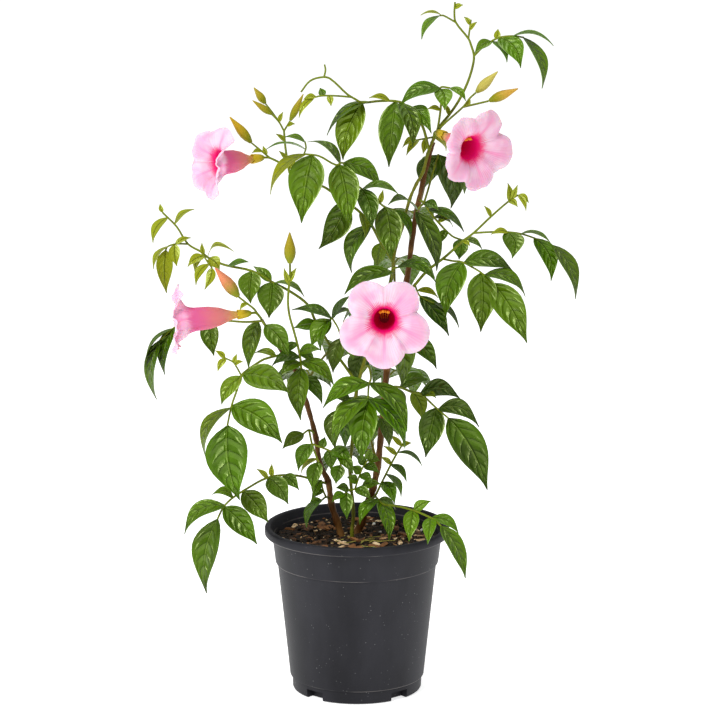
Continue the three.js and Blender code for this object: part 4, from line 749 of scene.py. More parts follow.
SPRAYS: tuple[Spray, ...] = (
    Spray("top_shoot", twigs=(
        (1.2, 0.8, (
            (434, 138, -6), (440, 126, -6), (449, 115, -6), (458.6, 101, -5), (467, 84, -4), (472, 69, -3),
            (474, 56, -2), (471, 45, -1), (468.4, 38.6, 0), (455.8, 22.4, 0), (454.4, 14, 0), (455, 2, 0),
        )),
        (0.8, 0.7, ((455.8, 22.4, 0), (443.8, 15.7, -3), (440, 15.5, -4))),
        (0.9, 0.7, ((474, 56, -2), (483.8, 46.3, -6), (498, 38, -10), (512, 36, -12), (524, 37.5, -12))),
        (0.8, 0.7, ((468.4, 38.6, 0), (471, 19.6, 2))),
        (1, 0.8, ((436, 134, -6), (438, 127, -10), (441, 104, -14), (440, 88, -16), (450, 88, -17))),
        (0.9, 0.8, ((434, 138, -6), (441.7, 126.3, -12), (463, 107, -18), (470, 98, -20), (476, 92.6, -20))),
        (0.9, 0.8, ((463, 107, -18), (476, 104, -20), (488.7, 101, -20))),
        (1.2, 1.1, ((434, 138, -6), (434.5, 133, -8), (436, 131.5, -10))),
        (0.8, 0.7, ((434, 137, -6), (417, 140, 0))),
    ), leaflets=(
        (442, 15, 420.7, 15.2, 4, -4), (440, 17, 421.7, 39.3, 9, -8), (454.5, 8, 463, 5, 5, -2),
        (470, 30, 477, 22, 4, -3), (470.5, 25, 464, 17, 4, 3), (492, 42, 474.7, 53.3, 9, -4),
        (492, 41, 507, 62.4, 9, -6), (499, 38, 520.7, 68, 20, -12), (512.6, 36, 553.6, 46, 10, -4),
        (523, 38.6, 542, 88.7, 14, -8), (496, 39, 498, 29, 6, 2), (440, 88, 400, 106, 17, -6, 418, 92.5),
        (440, 89, 444.5, 110, 17, -10), (450, 88, 465.6, 101, 8, -4), (441, 110, 427.7, 109, 5, -4),
        (467, 107, 470, 98, 4, -2), (449, 115, 445, 104, 4, 3), (417, 140, 402.5, 147.5, 6.4, -4, 409, 141),
        (419, 139.5, 406.5, 155.5, 6, -4), (426, 138.5, 423, 154, 6.4, -2), (434.5, 137, 446, 151, 6.4, 8),
    ), buds=(
        (476, 92.6, 498, 71.3, 10, -20, -4), (488.7, 101, 518.5, 88.4, 10, -20, -4),
    )),
    Spray("upper_left_shoot", twigs=(
        (1.2, 0.8, (
            (429, 150, -6), (422, 125, -9), (410, 110, -11), (400, 102, -12), (380, 101, -14),
            (362, 102.5, -16), (355, 99, -16), (347, 94, -15), (330, 78.6, -14), (321.7, 77.2, -14),
            (310, 81, -14), (301, 92, -14),
        )),
        (0.8, 0.7, ((324, 77.4, -14), (325.5, 70, -13), (324.5, 64.5, -12))),
        (0.8, 0.7, ((351, 97, -16), (333, 95.7, -20), (320, 96, -22), (313, 98, -22))),
    ), leaflets=(
        (395, 104.5, 388.9, 167, 25, -16, 393.5, 134), (399, 105, 412.6, 147, 20, -20, 409.5, 121.5),
        (408, 109, 431.4, 133.5, 17, -10, 422, 115.5), (390, 104.5, 369, 98, 6, -6),
        (371.7, 103, 326.9, 135.6, 13, -6, 346, 113.5), (362, 106, 343, 160, 25, -6, 347.5, 132),
        (316, 96, 303.5, 99.6, 5, -2), (314, 98, 299, 118, 6, -5), (324, 96, 320, 88, 7, 2),
        (329, 96, 331, 106, 6, -4),
    )),
    Spray("flower_shoot", twigs=(
        (1.3, 0.9, (
            (393, 262, -6), (381, 243, -11), (370, 223, -13), (355, 208, -14), (331, 191.5, -14),
            (324, 187, -14), (305, 180, -14), (291, 175, -13), (288, 163, -12), (285.5, 148, -11),
            (284, 131, -10),
        )),
        (0.8, 0.7, ((284, 131, -10), (279, 122, -11), (272, 114.5, -12))),
        (0.8, 0.7, ((279, 122, -11), (272, 112, -9), (265.6, 103.8, -8))),
        (0.8, 0.7, ((284, 131, -10), (290, 121, -10))),
        (0.9, 0.9, ((288, 167, -12), (270, 158, -14), (264, 157.5, -15))),
        (0.8, 0.7, ((270, 158, -14), (259, 149, -13), (251.6, 143, -12))),
        (0.9, 0.8, (
            (349, 203, -14), (351, 182, -19), (343, 163, -23), (336, 165, -24), (319, 156, -26),
            (304, 154, -27),
        )),
        (0.7, 0.7, ((304, 154, -27), (306, 148, -27), (305, 141.5, -27))),
    ), leaflets=(
        (312, 154, 301.5, 223, 34, -16, 306, 187.5), (338.6, 165.6, 348.6, 225, 29, -14, 345, 193),
        (343, 163, 380.4, 187, 19, 7, 366, 170.5), (340, 163, 307.4, 142, 11, 8, 326.5, 147),
        (305, 142, 285, 137, 7, -2), (304, 149, 266, 149.5, 7, -6), (306, 154, 270.4, 194.5, 14, -2),
        (345, 203, 318.7, 249, 25, -10, 337, 228.5), (371, 225, 351.8, 273, 18, -4, 353.5, 246),
        (360, 213, 365, 237.5, 8, -6), (381, 243, 377, 267, 14, 6), (285, 141, 276, 134, 4, -3),
        (288, 160, 279, 151, 4, -3), (266, 156, 263, 146, 4, 2), (289, 169, 296, 160, 4, 2),
        (262, 151, 252, 153, 4, -3), (279, 122, 283, 112, 4, -2), (287, 126, 295, 124, 4, -2),
    ), buds=(
        (251.6, 143, 229.5, 116.6, 10, -12, -4), (265.6, 103.8, 253.7, 87.3, 8, -8, 0),
        (272, 114.5, 252.3, 100.3, 7, -12, -3), (290, 121, 303.5, 93.7, 7.5, -10, 0),
    )),
    Spray("glossy_leaf", twigs=(
        (1, 0.8, ((406, 213, -6), (397, 210.6, -14), (385, 207, -21), (376, 200, -23), (358, 186, -24))),
    ), leaflets=(
        (385, 207, 391, 259.6, 26, -12), (363, 188, 398, 194, 12, -6, 381, 186.5),
        (361, 189, 372, 228, 19, -8, 368.5, 207), (380, 203, 383, 190, 5, -2), (394, 210, 410, 240, 10, -3),
    )),
    Spray("side_leaves", twigs=(
        (1.1, 0.8, (
            (419.5, 200, 2), (424, 203, -4), (430, 212, -8), (438, 222, -6), (452, 236, -1), (462, 240, 2),
        )),
        (0.9, 0.8, ((424, 203, -4), (420, 207, -12), (416, 212, -15))),
        (0.9, 0.8, ((424, 203, -4), (428, 190, 2), (433, 172, 6), (438.5, 154, 8))),
    ), leaflets=(
        (416, 212, 436.7, 271, 20, -6, 431, 240), (417, 210, 388, 205, 11, -12, 402.5, 200),
        (424, 203, 438.8, 210.6, 9, -8), (427, 210, 464, 232, 13, -6, 448.5, 217),
        (433, 218, 453, 227, 7, 4), (462, 240, 482, 249, 8, -4), (460, 240, 459, 259.6, 15, -4),
        (438, 222, 452, 216, 6, 2), (438, 155, 424, 190, 22, 4, 426.5, 171),
        (439, 155, 450.8, 208.4, 25, 8, 452.5, 180), (446, 230, 440, 244, 8, -4),
    )),
    Spray("right_shoot", twigs=(
        (1.4, 0.8, (
            (403, 297, 2), (413, 287, 0), (427, 271, -4), (445, 257, -6), (463, 241, -8), (473.6, 233, -9),
            (491, 216.6, -9), (509, 201, -8), (518, 195, -8),
        )),
        (0.9, 0.7, (
            (474, 233, -9), (491, 232, -12), (506, 232, -14), (520, 233.6, -14), (534, 238, -14),
            (552, 245, -14),
        )),
        (0.9, 0.8, (
            (443, 259, -6), (453, 261, -12), (462, 262, -16), (473.6, 268, -18), (481.6, 273, -20),
            (492, 283, -22),
        )),
        (0.8, 0.7, ((415, 285, 0), (420, 296, -4), (434, 303, -6))),
    ), leaflets=(
        (508, 232, 491, 234.5, 6, -4), (506.6, 232, 512, 258.6, 20, -8, 514, 244),
        (521, 233, 550.7, 243.4, 8, -4), (534, 239, 551, 281, 18, -8, 547.5, 257.5),
        (553, 246, 575.4, 299, 17, -6, 568, 270), (462, 262, 446, 316, 28, -10, 448, 286.5),
        (464, 262, 513, 271.4, 20, 2, 490, 260), (481, 273, 480.7, 332, 29, -12, 481.5, 301.5),
        (484, 275, 525.4, 297, 16, 0, 509, 278.5), (493, 284, 527, 343, 29, -12, 513, 310.5),
        (509, 201, 507.7, 183, 6, 2), (512, 199, 517.5, 185, 5, -2), (509, 201, 517.5, 207, 6, -4),
        (518, 195, 528.7, 203, 6, -2), (518, 195, 526, 211, 5, -5), (420, 296, 449, 336, 18, -8, 435.5, 315),
        (434, 303, 459, 328, 9, -4, 449, 312.5), (420, 289, 438, 298, 6, 3), (491, 217, 484, 206, 4, 2),
        (463, 241, 470, 246, 4, -2),
    )),
    Spray("front_stalk", twigs=(
        (1.1, 1, ((392, 274, -6), (391, 276, -12), (388, 296, -16), (385, 314, -14), (384.3, 317, -13))),
        (0.9, 0.8, ((391, 278, -13), (393, 269, -16), (397, 267.5, -18))),
        (0.9, 0.8, ((385.6, 310, -14), (396, 326, -13), (406, 339, -13))),
    ), leaflets=(
        (389, 271, 344.5, 294.5, 20, -12, 365.5, 278), (397, 267.5, 436, 282.7, 15, -8, 418, 267),
        (405, 338, 436.4, 369, 18, -2, 425, 350.5), (399, 328, 401.3, 386, 23, 4, 403, 357),
        (389, 306, 418, 300, 14, 6),
    )),
    Spray("central_leaf", twigs=(
        (1, 0.8, ((361.5, 372, -8), (368, 366, -18), (371, 378, -28), (368.8, 385, -31), (368, 401, -34))),
    ), leaflets=(
        (369, 383, 323, 408, 20, -8), (370, 383, 407, 432, 20, -10), (368, 398, 332.3, 444.7, 20, -9),
        (368, 399, 405, 449, 20, -6), (368, 401, 361.7, 461, 27, -14),
    )),
    Spray("shaded_leaf", twigs=(
        (0.9, 0.8, ((366, 357, -8), (367, 352, -4), (365, 350, -3))),
    ), leaflets=(
        (365, 350, 355, 382, 21, 2), (365, 350, 352, 339, 11, -1),
    )),
    Spray("behind_leaf", twigs=(
        (1, 0.8, ((355, 405, -8), (350, 400, -15), (344, 404, -18), (337, 410, -19))),
        (0.9, 0.8, ((355, 405, -8), (364, 408, -16), (380, 418, -20))),
    ), leaflets=(
        (337, 410, 335.5, 449.5, 18, -3, 332, 428), (344, 405, 345, 449, 14, -2),
        (380, 418, 389, 447, 12, -2), (372, 413, 372, 440, 12, -2), (350, 401, 330, 396, 9, 0),
        (350, 400, 338, 424, 10, -5), (364, 408, 356, 432, 10, -4),
    )),
    Spray("left_shoot", twigs=(
        (1.3, 0.8, (
            (358, 385, -8), (345, 366, -2), (333, 350, -1), (315, 320, -3), (308, 305, -5), (291, 292, -8),
            (272, 282, -9), (252, 271, -8), (225, 265, -6), (208.8, 258, -4), (201.4, 252, -2),
            (188, 244, 0), (176.5, 226.5, 3), (162.4, 212.4, 5),
        )),
        (0.9, 0.8, ((319, 327, -3), (326, 323, -9), (332, 318, -12))),
        (0.8, 0.7, ((332, 318, -12), (338, 328, -11), (341, 338, -10))),
        (0.8, 0.7, ((188, 244, 0), (176, 244, -4), (168, 246.4, -6), (165.7, 250, -7))),
        (0.8, 0.7, ((201.4, 252, -2), (207, 261, -6), (212, 268, -8))),
    ), leaflets=(
        (331.5, 318, 291.7, 310, 13, -2, 313, 310.5), (332, 318, 350, 296, 10, -6),
        (332, 318, 352, 311, 8, -8), (331, 320, 311.6, 347, 18, -2), (331, 320, 321, 351, 10, -8),
        (318, 324, 294, 328, 12, -4, 305, 325), (341, 338, 333, 373, 16, -2), (340, 337, 353, 360, 14, 2),
        (318, 326, 322, 345, 9, 5), (252, 271, 250.7, 303.5, 22, -6),
        (228, 266, 248.6, 262, 8, -5, 239, 263), (271.7, 282, 269, 318, 26, -7, 271, 299.5),
        (271, 282, 253.5, 266.5, 10, 4), (274, 283, 304.3, 297, 9, -4), (175, 224, 194.3, 209.3, 8, -2),
        (167, 218, 153, 243, 10, -4, 156.5, 228.5), (162.4, 212.4, 160, 204, 4, 2),
        (174.8, 244, 177, 266.3, 11, -4), (169, 246, 153.5, 269.2, 7, -6), (165.7, 250, 166.5, 293, 15, -6),
        (175, 244, 191, 238, 5, 4), (204, 256, 187.7, 266.8, 9, -5), (203, 255, 195, 272, 7, -1),
        (208.8, 264, 196, 285.4, 9, -4), (212, 268, 204.7, 289.6, 9, -5, 210.5, 278.5),
        (208, 257, 233.7, 251.4, 8, -4, 217, 246), (208.8, 258, 219.6, 269.7, 12, -3),
        (204, 254, 202, 242.7, 4, 0),
    )),
    Spray("bud_shoot", twigs=(
        (1.1, 0.9, (
            (305, 400, -7), (302, 385, -15), (300.7, 362, -19), (298.4, 348.4, -20), (294, 331.5, -22),
            (289.3, 314.7, -23), (288, 299, -24), (290, 275, -24), (290, 264, -24),
        )),
    ), leaflets=(
        (300.7, 368, 300.7, 420.4, 21, -12), (301, 361.5, 334, 386, 16, -5),
        (300, 363, 280.4, 376.4, 12, -6), (299, 357, 272, 366, 12, -5), (302, 376, 322, 404, 14, 2),
        (289, 284, 284, 268, 5, -2), (289, 282, 296.5, 268, 5, 2), (299, 353, 321, 350, 10, -4),
        (299, 352, 314, 364, 9, 2), (297, 343, 286, 354, 8, -2),
    ), buds=(
        (290, 264, 289.7, 232, 12, -24, 0),
    )),
    Spray("lower_left_leaf", twigs=(
        (1.1, 0.8, (
            (285, 354, -12), (264.7, 359, -24), (256, 364, -28), (246, 371, -32), (242, 375, -34),
            (237, 390, -37), (231.5, 406, -40), (227.4, 425.5, -43),
        )),
        (0.8, 0.7, ((241.5, 376, -34), (236, 366, -35), (233, 362, -35), (225, 358, -35))),
    ), leaflets=(
        (243, 375, 289.6, 393.4, 26, -7, 268, 379.5), (241.5, 376, 221.6, 404.6, 15, -4, 227.5, 389),
        (232, 406, 282, 443, 32, -7, 260, 420.5), (231, 407.5, 206, 458, 14, -6, 209.5, 429),
        (227.4, 425.5, 239.6, 500, 41, -10, 227, 463), (225, 358, 215.3, 350.7, 5, 0),
        (226, 358.5, 217.8, 371.5, 6, -3), (234, 363, 237, 354, 4, 0), (235, 365, 243, 362, 4, -4),
        (276, 356, 254.7, 353, 8, 4),
    )),
    Spray("left_flower_shoot", twigs=(
        (1.1, 1, ((262, 320, -14), (260, 317, -19), (256, 313, -23), (251.5, 313, -25))),
        (0.9, 0.8, ((259, 316, -20), (254, 309, -26), (247.8, 304, -28), (238.7, 297, -29))),
        (1, 0.7, (
            (262, 321, -14), (246, 322, -10), (230, 321, -3), (205, 320, 8), (190, 322, 12), (175, 327, 13),
            (160, 340, 13),
        )),
        (0.8, 0.8, ((262, 320, -14), (263, 322, -21), (265, 325, -23))),
    ), leaflets=(
        (258, 322, 248.6, 368, 18, -2, 252.5, 343.5), (265, 325, 288.5, 356, 20, -5),
        (208, 321, 214, 356, 18, -6, 210.5, 338), (173, 328, 145.2, 368.7, 7, 0),
        (160, 340, 156.7, 399.6, 13, -4, 153, 369.5), (175, 328, 165, 375, 14, -4),
        (247, 304, 240, 310, 4, -3),
    ), buds=(
        (238.7, 297, 215, 267.6, 13, -29, -4),
    )),
    Spray("rim_leaf", twigs=(
        (1.1, 0.8, (
            (328.5, 484, 0), (312.4, 479.4, -10), (297, 475.6, -17), (277, 475.6, -24), (263.4, 479.4, -28),
            (249.6, 487, -32), (232.8, 497.8, -36), (223.6, 507, -38), (217.5, 519, -40),
        )),
    ), leaflets=(
        (283, 475.6, 299, 490, 12, -5, 291.5, 481), (267.7, 478, 256.5, 469, 5, -2),
        (272, 477, 272, 463.8, 5, 2), (268, 477, 288.3, 504.3, 20, -10, 279.5, 489.5),
        (242, 490, 268, 522.3, 22, -7, 256, 506.5), (233, 497, 212, 494.7, 9, -3, 223, 491),
        (224.6, 504.6, 184.5, 534.5, 18, -2, 199.5, 512.5), (223.6, 507, 257, 544.4, 23, -6, 241, 525),
        (217.5, 519, 206.7, 593.4, 26, -10, 207, 555),
    )),
    Spray("right_leaf", twigs=(
        (1.2, 0.8, (
            (385.5, 388, 2), (398.6, 387, -6), (412.7, 392.4, -14), (420, 393.4, -18), (436, 407.7, -24),
            (448.6, 418.4, -28),
        )),
    ), leaflets=(
        (420, 393, 460.7, 399.5, 18, -4, 441, 389), (412, 392.6, 422, 420, 15, -2),
        (436, 408, 425.6, 457.5, 25, -10), (438, 409, 479.3, 427.4, 18, -2, 460, 408.5),
        (448.3, 418.4, 487.3, 490, 33, -12, 471, 451.5), (424, 396, 436, 398, 7, -8),
        (391, 387, 401.3, 414, 14, 4), (400, 386.5, 428, 382, 13, 4, 415, 379),
    )),
    Spray("low_right_shoot", twigs=(
        (1.1, 0.8, ((369, 500, 5), (375, 496, -2), (381, 484, -6), (394, 458.6, -10), (402.4, 444.5, -12))),
        (1, 0.8, (
            (375, 496, -2), (383, 504, -12), (396, 506, -24), (413.7, 510.5, -40), (433, 519, -54),
            (441, 526, -60),
        )),
    ), leaflets=(
        (397, 452, 422, 466, 7, -4), (390.5, 464, 406.4, 481.7, 8, -5), (386, 474, 401, 497.6, 8, -5),
        (402, 446, 411.6, 443, 5, -2), (402, 446, 390, 435, 5, 0), (396, 454.4, 383.5, 446, 5, -3),
        (391, 464, 381, 457, 5, -4), (382, 482, 394.6, 504, 13, -8), (378, 500, 395.4, 510, 8, 4),
        (376, 501, 359.5, 524.5, 13, -12), (378, 502, 389, 540, 16, -14), (413.7, 511, 431, 501, 10, -2),
        (413, 510.5, 409, 541.4, 15, -12), (430, 518, 427.7, 544, 13, -14),
        (431, 518, 458.6, 534, 12, -4, 447.5, 522), (441.7, 526.6, 465.3, 578.5, 18, -10, 456, 550.5),
    )),
    Spray("basal_left", twigs=(
        (1, 0.8, ((330, 499, 0), (326, 497, -6), (322, 500, -10))),
        (0.9, 0.8, ((326, 497, -6), (323, 490, -8), (321, 480, -9))),
    ), leaflets=(
        (324, 500, 306.5, 527.7, 11, -14), (323, 490, 311.6, 499, 8, -4), (322, 500, 309.5, 508, 8, 2),
        (321, 480, 314, 497, 10, -4),
    )),
    Spray("basal_middle", twigs=(
        (1, 0.8, ((351.5, 492, -8), (348, 490, -13), (345, 494, -16))),
        (0.9, 0.8, ((348, 490, -13), (355, 489, -13), (362, 486, -12))),
        (0.8, 0.7, ((355, 489, -13), (359, 477, -15), (363, 467, -17), (368, 460, -18))),
    ), leaflets=(
        (346, 492, 346.8, 519, 13, -8), (355, 489, 371, 500, 10, -5), (362, 486, 381, 484, 10, -4),
        (345, 494, 332, 502, 8, -4), (349, 490, 336, 488, 9, -6), (358, 482, 347, 477, 9, -3),
        (361, 473, 352, 466, 9, -1), (360, 475, 372, 484, 9, -6), (365, 464, 357, 455, 9, -2),
        (364, 466, 379, 473, 9, -4), (368, 460, 380, 461, 9, -2), (368, 460, 371, 448, 8, 0),
    )),
    Spray("low_left_leaf", twigs=(
        (1, 0.8, ((315, 434, -4), (309, 430, -10), (303, 434, -12))),
        (0.9, 0.8, ((309, 430, -10), (312, 444, -14), (317, 458, -15), (319, 462, -15))),
        (0.9, 0.8, ((312, 444, -14), (328, 450, -15), (338, 456, -16), (341, 466, -17))),
    ), leaflets=(
        (304, 434, 282.5, 448.8, 13, -6, 292, 440), (312, 444, 298.3, 471, 15, -4, 302.5, 455.5),
        (317, 459, 300.8, 475.4, 5, 4), (319, 462, 313, 490, 15, -6), (330, 451, 352, 462, 13, -3),
        (328, 450, 331, 470, 12, -3), (341, 465, 336, 484, 14, -4), (322, 448, 325, 437, 8, 2),
        (338, 456, 353, 474, 11, -5), (334, 453, 346, 447, 8, -3),
    )),
)

FLOWERS: tuple[Flower, ...] = (
    Flower(
        "front", foot=(384.3, 317, -13), mouth=(384.3, 319.8, -45), open=True,
        lobes=((-90, 39, 3), (-27, 38.5, 0), (52, 35, 4), (131, 35.5, 4), (212, 39, 0)),
    ),
    Flower(
        "right", foot=(436, 131.5, -10), mouth=(469.5, 148, -32), open=True,
        lobes=((-71, 39, 2), (-23, 43, 6), (47, 35, 2), (126, 33, 6), (216, 30, 5)),
    ),
    Flower(
        "upper_left", foot=(264, 157.5, -15), mouth=(221, 163, -21),
        lobes=((-90, 25, 60), (-14, 29, -22), (63, 34, 18), (120, 36, 24), (180, 32, 30)),
    ),
    Flower(
        "left", foot=(251.5, 313, -25), mouth=(189, 320, -9),
        lobes=((-74, 25, 42), (0, 30, 8), (72, 29, 8), (128, 30, 14), (196, 30, 32)),
    ),
)

BACK_SHOOTS: tuple[BackShoot, ...] = (
    BackShoot("back_shoot_1", "cane_right", (383, 420), azimuth=84, height=34, out=54),
    BackShoot("back_shoot_2", "cane_left", (302, 390), azimuth=66, height=30, out=52),
    BackShoot("back_shoot_3", "cane_right", (395, 330), azimuth=90, height=60, out=58),
    BackShoot("back_shoot_4", "cane_right", (411, 245), azimuth=74, height=75, out=60),
    BackShoot("back_shoot_5", "cane_right", (377, 467), azimuth=100, height=32, out=52),
)

# Painted light and shade: DEEP darkens sprays that hang in shade and BRIGHT lightens sprays that shine in the
# light.
SPRAY_TONES: dict[str, Tone] = {
    "low_right_shoot": Tone.BRIGHT,
    "top_shoot": Tone.BRIGHT,
    "central_leaf": Tone.BRIGHT,
    "right_leaf": Tone.DEEP,
    "behind_leaf": Tone.DEEP,
    "shaded_leaf": Tone.DEEP,
}

# Leaflets that differ from their spray, by the place of their tip; DEEP is painted shade for those that hang
# in shade.
LEAFLET_TONES: dict[tuple[float, float], Tone] = {
    (343, 160): Tone.UNDERSIDE,
    (377, 267): Tone.UNDERSIDE,
    (453, 227): Tone.UNDERSIDE,
    (221.6, 404.6): Tone.UNDERSIDE,
    (206, 458): Tone.UNDERSIDE,
    (365, 237.5): Tone.LIGHT,
    (254.7, 353): Tone.LIGHT,
    (422, 420): Tone.LIGHT,
    (436, 398): Tone.LIGHT,
    (270.4, 194.5): Tone.YOUNG,
    (436.7, 271): Tone.DEEP,
    (450.8, 208.4): Tone.DEEP,
    (272, 366): Tone.DEEP,
    (333, 373): Tone.DEEP,
    (355, 382): Tone.DEEP,
}
# How pale a bud is, how warm and how golden its tip is, by the place of its tip.
BUD_TINTS: dict[tuple[float, float], Place] = {
    (215, 267.6): (0.0, 1.0, 0.0),
    (518.5, 88.4): (0.0, 0.3, 0.8),
    (229.5, 116.6): (0.0, 0.1, 1.0),
    (498, 71.3): (0.8, 0.0, 0.3),
}
# Sprays whose leaflets are young where their tips lie left of a place (px).
YOUNG_PLACES: tuple[tuple[str, float], ...] = (("left_shoot", 235.0), ("upper_left_shoot", 250.0))
# What any other bud is tinted with.
PLAIN_BUD: Place = (0.0, 0.1, 0.3)
# A leaflet seen narrower than this (px) is a bract: a small young leaf.
BRACT_WIDTH = 6.5
# How far apart the seeds of two sprays, of two back shoots and of two leaves on one lie.
SPRAY_SEEDS = 40
SHOOT_SEEDS = 31
LEAF_SEEDS = 7


@dataclass
class Mould:
    """A shape modelled once; each copy is a mesh of its own with its points moved to its place."""

    name: str
    shape: Shape
    points: np.ndarray = field(init=False)

    def __post_init__(self) -> None:
        """Keep the shape's points and hide it from the scene's collection."""
        count = len(self.shape.data.vertices)
        flat = np.empty(count * 3)
        self.shape.data.vertices.foreach_get("co", flat)
        self.points = flat.reshape(count, 3)
        for owner in list(self.shape.users_collection):
            owner.objects.unlink(self.shape)

    def copy(self, moved: np.ndarray, places: np.ndarray, tone: Place,
             finishes: Iterable[Material]) -> Shape:
        """Make a copy with its points at new places.

        Args:
            moved: The copy's points, mm.
            places: What the finish reads of each point: across, along and one more.
            tone: Youth, light and hue of the whole copy.
            finishes: Materials, in the order of the shape's own slots.

        Returns:
            The copy, in the scene.
        """
        mesh = self.shape.data.copy()
        mesh.vertices.foreach_set("co", (moved * MM).ravel())
        for name, values in (("place", places), ("tone", np.tile(tone, (len(moved), 1)))):
            layer = mesh.attributes.new(name, "FLOAT_VECTOR", "POINT")
            layer.data.foreach_set("vector", np.ascontiguousarray(values, dtype=np.float32).ravel())
        mesh.materials.clear()
        for finish in finishes:
            mesh.materials.append(finish)
        made = bpy.data.objects.new(self.name, mesh)
        bpy.context.scene.collection.objects.link(made)
        return made


class Workshop:
    """The moulds that stems, leaflets, buds and trumpets are copied from."""

    def __init__(self) -> None:
        """Start with no stem moulds; the others are modelled at once."""
        self.stems: dict[int, Mould] = {}
        self.leaf = self.model_leaf()
        self.bud = self.model_bud()
        self.trumpet = self.model_sleeve("trumpet", 80, 30, False)
        self.cup = self.model_sleeve("cup", 20, 14, False)

    @staticmethod
    def primitive(add: Callable[..., set[str]], **sizes: object) -> Shape:
        """Add a primitive with nothing else selected, and return it.

        Args:
            add: The operator that adds it.
            sizes: The operator's own settings.

        Returns:
            The new object, active and selected.
        """
        bpy.ops.object.select_all(action="DESELECT")
        add(**sizes)
        return bpy.context.active_object

    @staticmethod
    def cut_along(shape: Shape, direction: Place, cuts: int) -> None:
        """Subdivide a shape's edges that run in one direction.

        Args:
            shape: The active object.
            direction: The edges' direction.
            cuts: Number of cuts in each.
        """
        way = Vector(direction)
        bpy.ops.object.mode_set(mode="EDIT")
        bpy.ops.mesh.select_mode(type="EDGE")
        bpy.ops.mesh.select_all(action="DESELECT")
        bpy.ops.object.mode_set(mode="OBJECT")
        corners = shape.data.vertices
        for edge in shape.data.edges:
            run = corners[edge.vertices[1]].co - corners[edge.vertices[0]].co
            edge.select = abs(run.normalized().dot(way)) > 0.99
        bpy.ops.object.mode_set(mode="EDIT")
        bpy.ops.mesh.subdivide(number_cuts=cuts)
        bpy.ops.object.mode_set(mode="OBJECT")

    def model_leaf(self) -> Mould:
        """Model a leaflet as a flat slab, 4 by 13 faces a side, its lower faces in slot 1."""
        slab = self.primitive(bpy.ops.mesh.primitive_cube_add, size=1)
        self.cut_along(slab, (1, 0, 0), 3)
        self.cut_along(slab, (0, 1, 0), 12)
        for _ in range(2):
            slab.data.materials.append(None)
        for face in slab.data.polygons:
            face.material_index = 1 if face.normal.z < -0.5 else 0
        return Mould("leaflet", slab)

    def model_bud(self) -> Mould:
        """Model a bud as a ball about Z."""
        ball = self.primitive(bpy.ops.mesh.primitive_uv_sphere_add, segments=12, ring_count=10, radius=1)
        return Mould("bud", ball)

    def model_sleeve(self, name: str, around: int, along: int, closed: bool) -> Mould:
        """Model a straight round sleeve of radius 1 from z -0.5 to 0.5.

        Args:
            name: Name of its copies.
            around: Number of its sides.
            along: Number of faces along it.
            closed: Whether its ends are closed.

        Returns:
            The mould.
        """
        sleeve = self.primitive(
            bpy.ops.mesh.primitive_cylinder_add, vertices=around, radius=1, depth=1,
            end_fill_type="NGON" if closed else "NOTHING",
        )
        self.cut_along(sleeve, (0, 0, 1), along - 1)
        return Mould(name, sleeve)

    def stem(self, segments: int) -> Mould:
        """Find the mould of a stem, modelled when first asked for.

        Args:
            segments: Number of lengths of the stem.

        Returns:
            The mould.
        """
        if segments not in self.stems:
            self.stems[segments] = self.model_sleeve("stem", 8, segments, True)
        return self.stems[segments]


@dataclass
class Line:
    """A smooth line through points, with its directions carried along without a twist."""

    points: Sequence[Vector]
    steps: int = 4
    samples: list[Vector] = field(init=False)

    def __post_init__(self) -> None:
        """Sample the smooth curve through the points."""
        points = list(self.points)
        if len(points) == 2:
            self.samples = [points[0].lerp(points[1], step / self.steps) for step in range(self.steps + 1)]
            return
        ways = []
        for index, point in enumerate(points):
            before = points[max(index - 1, 0)]
            after = points[min(index + 1, len(points) - 1)]
            ways.append((after - before).normalized())
        samples = [points[0]]
        for index in range(len(points) - 1):
            first, last = points[index], points[index + 1]
            reach = (last - first).length / 3
            curve = geometry.interpolate_bezier(
                first, first + ways[index] * reach, last - ways[index + 1] * reach, last, self.steps + 1
            )
            samples.extend(curve[1:])
        self.samples = samples

    def frames(self) -> list[tuple[Vector, Vector, Vector, Vector]]:
        """Return each sample's point, direction, side and over."""
        made = []
        side = None
        for index, point in enumerate(self.samples):
            before = self.samples[max(index - 1, 0)]
            after = self.samples[min(index + 1, len(self.samples) - 1)]
            along = (after - before).normalized()
            seed = side if side else (Vector((1, 0, 0)) if abs(along.x) < 0.8 else UP)
            side = (seed - along * seed.dot(along)).normalized()
            made.append((point, along, side, along.cross(side)))
        return made


@dataclass(frozen=True)
class Blade:
    """The form of a leaflet, as shares of its length or of its half width, and in mm.

    The first two rows are places along the blade and its width there. The ripple is its least
    height and how much chance adds.
    """

    shares: Row = (0.0, 0.04, 0.1, 0.18, 0.28, 0.38, 0.5, 0.62, 0.74, 0.84, 0.92, 1.0)
    widths: Row = (0.05, 0.3, 0.6, 0.83, 0.97, 1.0, 0.94, 0.77, 0.52, 0.27, 0.11, 0.01)
    least_half_mm: float = 0.25
    bow: float = 0.12
    arch: float = 0.05
    fold: float = 0.16
    sink: float = 0.07
    ripple: Band = (0.03, 0.04)
    ripples: float = 8.0
    sweep: float = 0.05
    thickness_mm: float = 0.7
    edge_loss: float = 0.35
    light_spread: float = 0.5
    hue_spread: float = 0.5

    def droop(self, root: Vector, span: Vector) -> Vector:
        """Find how far the middle of a drooping leaflet lies up and outward of the line to its tip.

        Args:
            root: The leaflet's root, mm.
            span: The way from its root to its tip, mm.

        Returns:
            The rise, mm.
        """
        along = span.normalized()
        outward = 0.6 * min(max(2 * along.x + root.x / 100, -1), 1)
        lift = Vector((outward, 0, 1))
        return (lift - along * lift.dot(along)) * (self.bow * span.length)


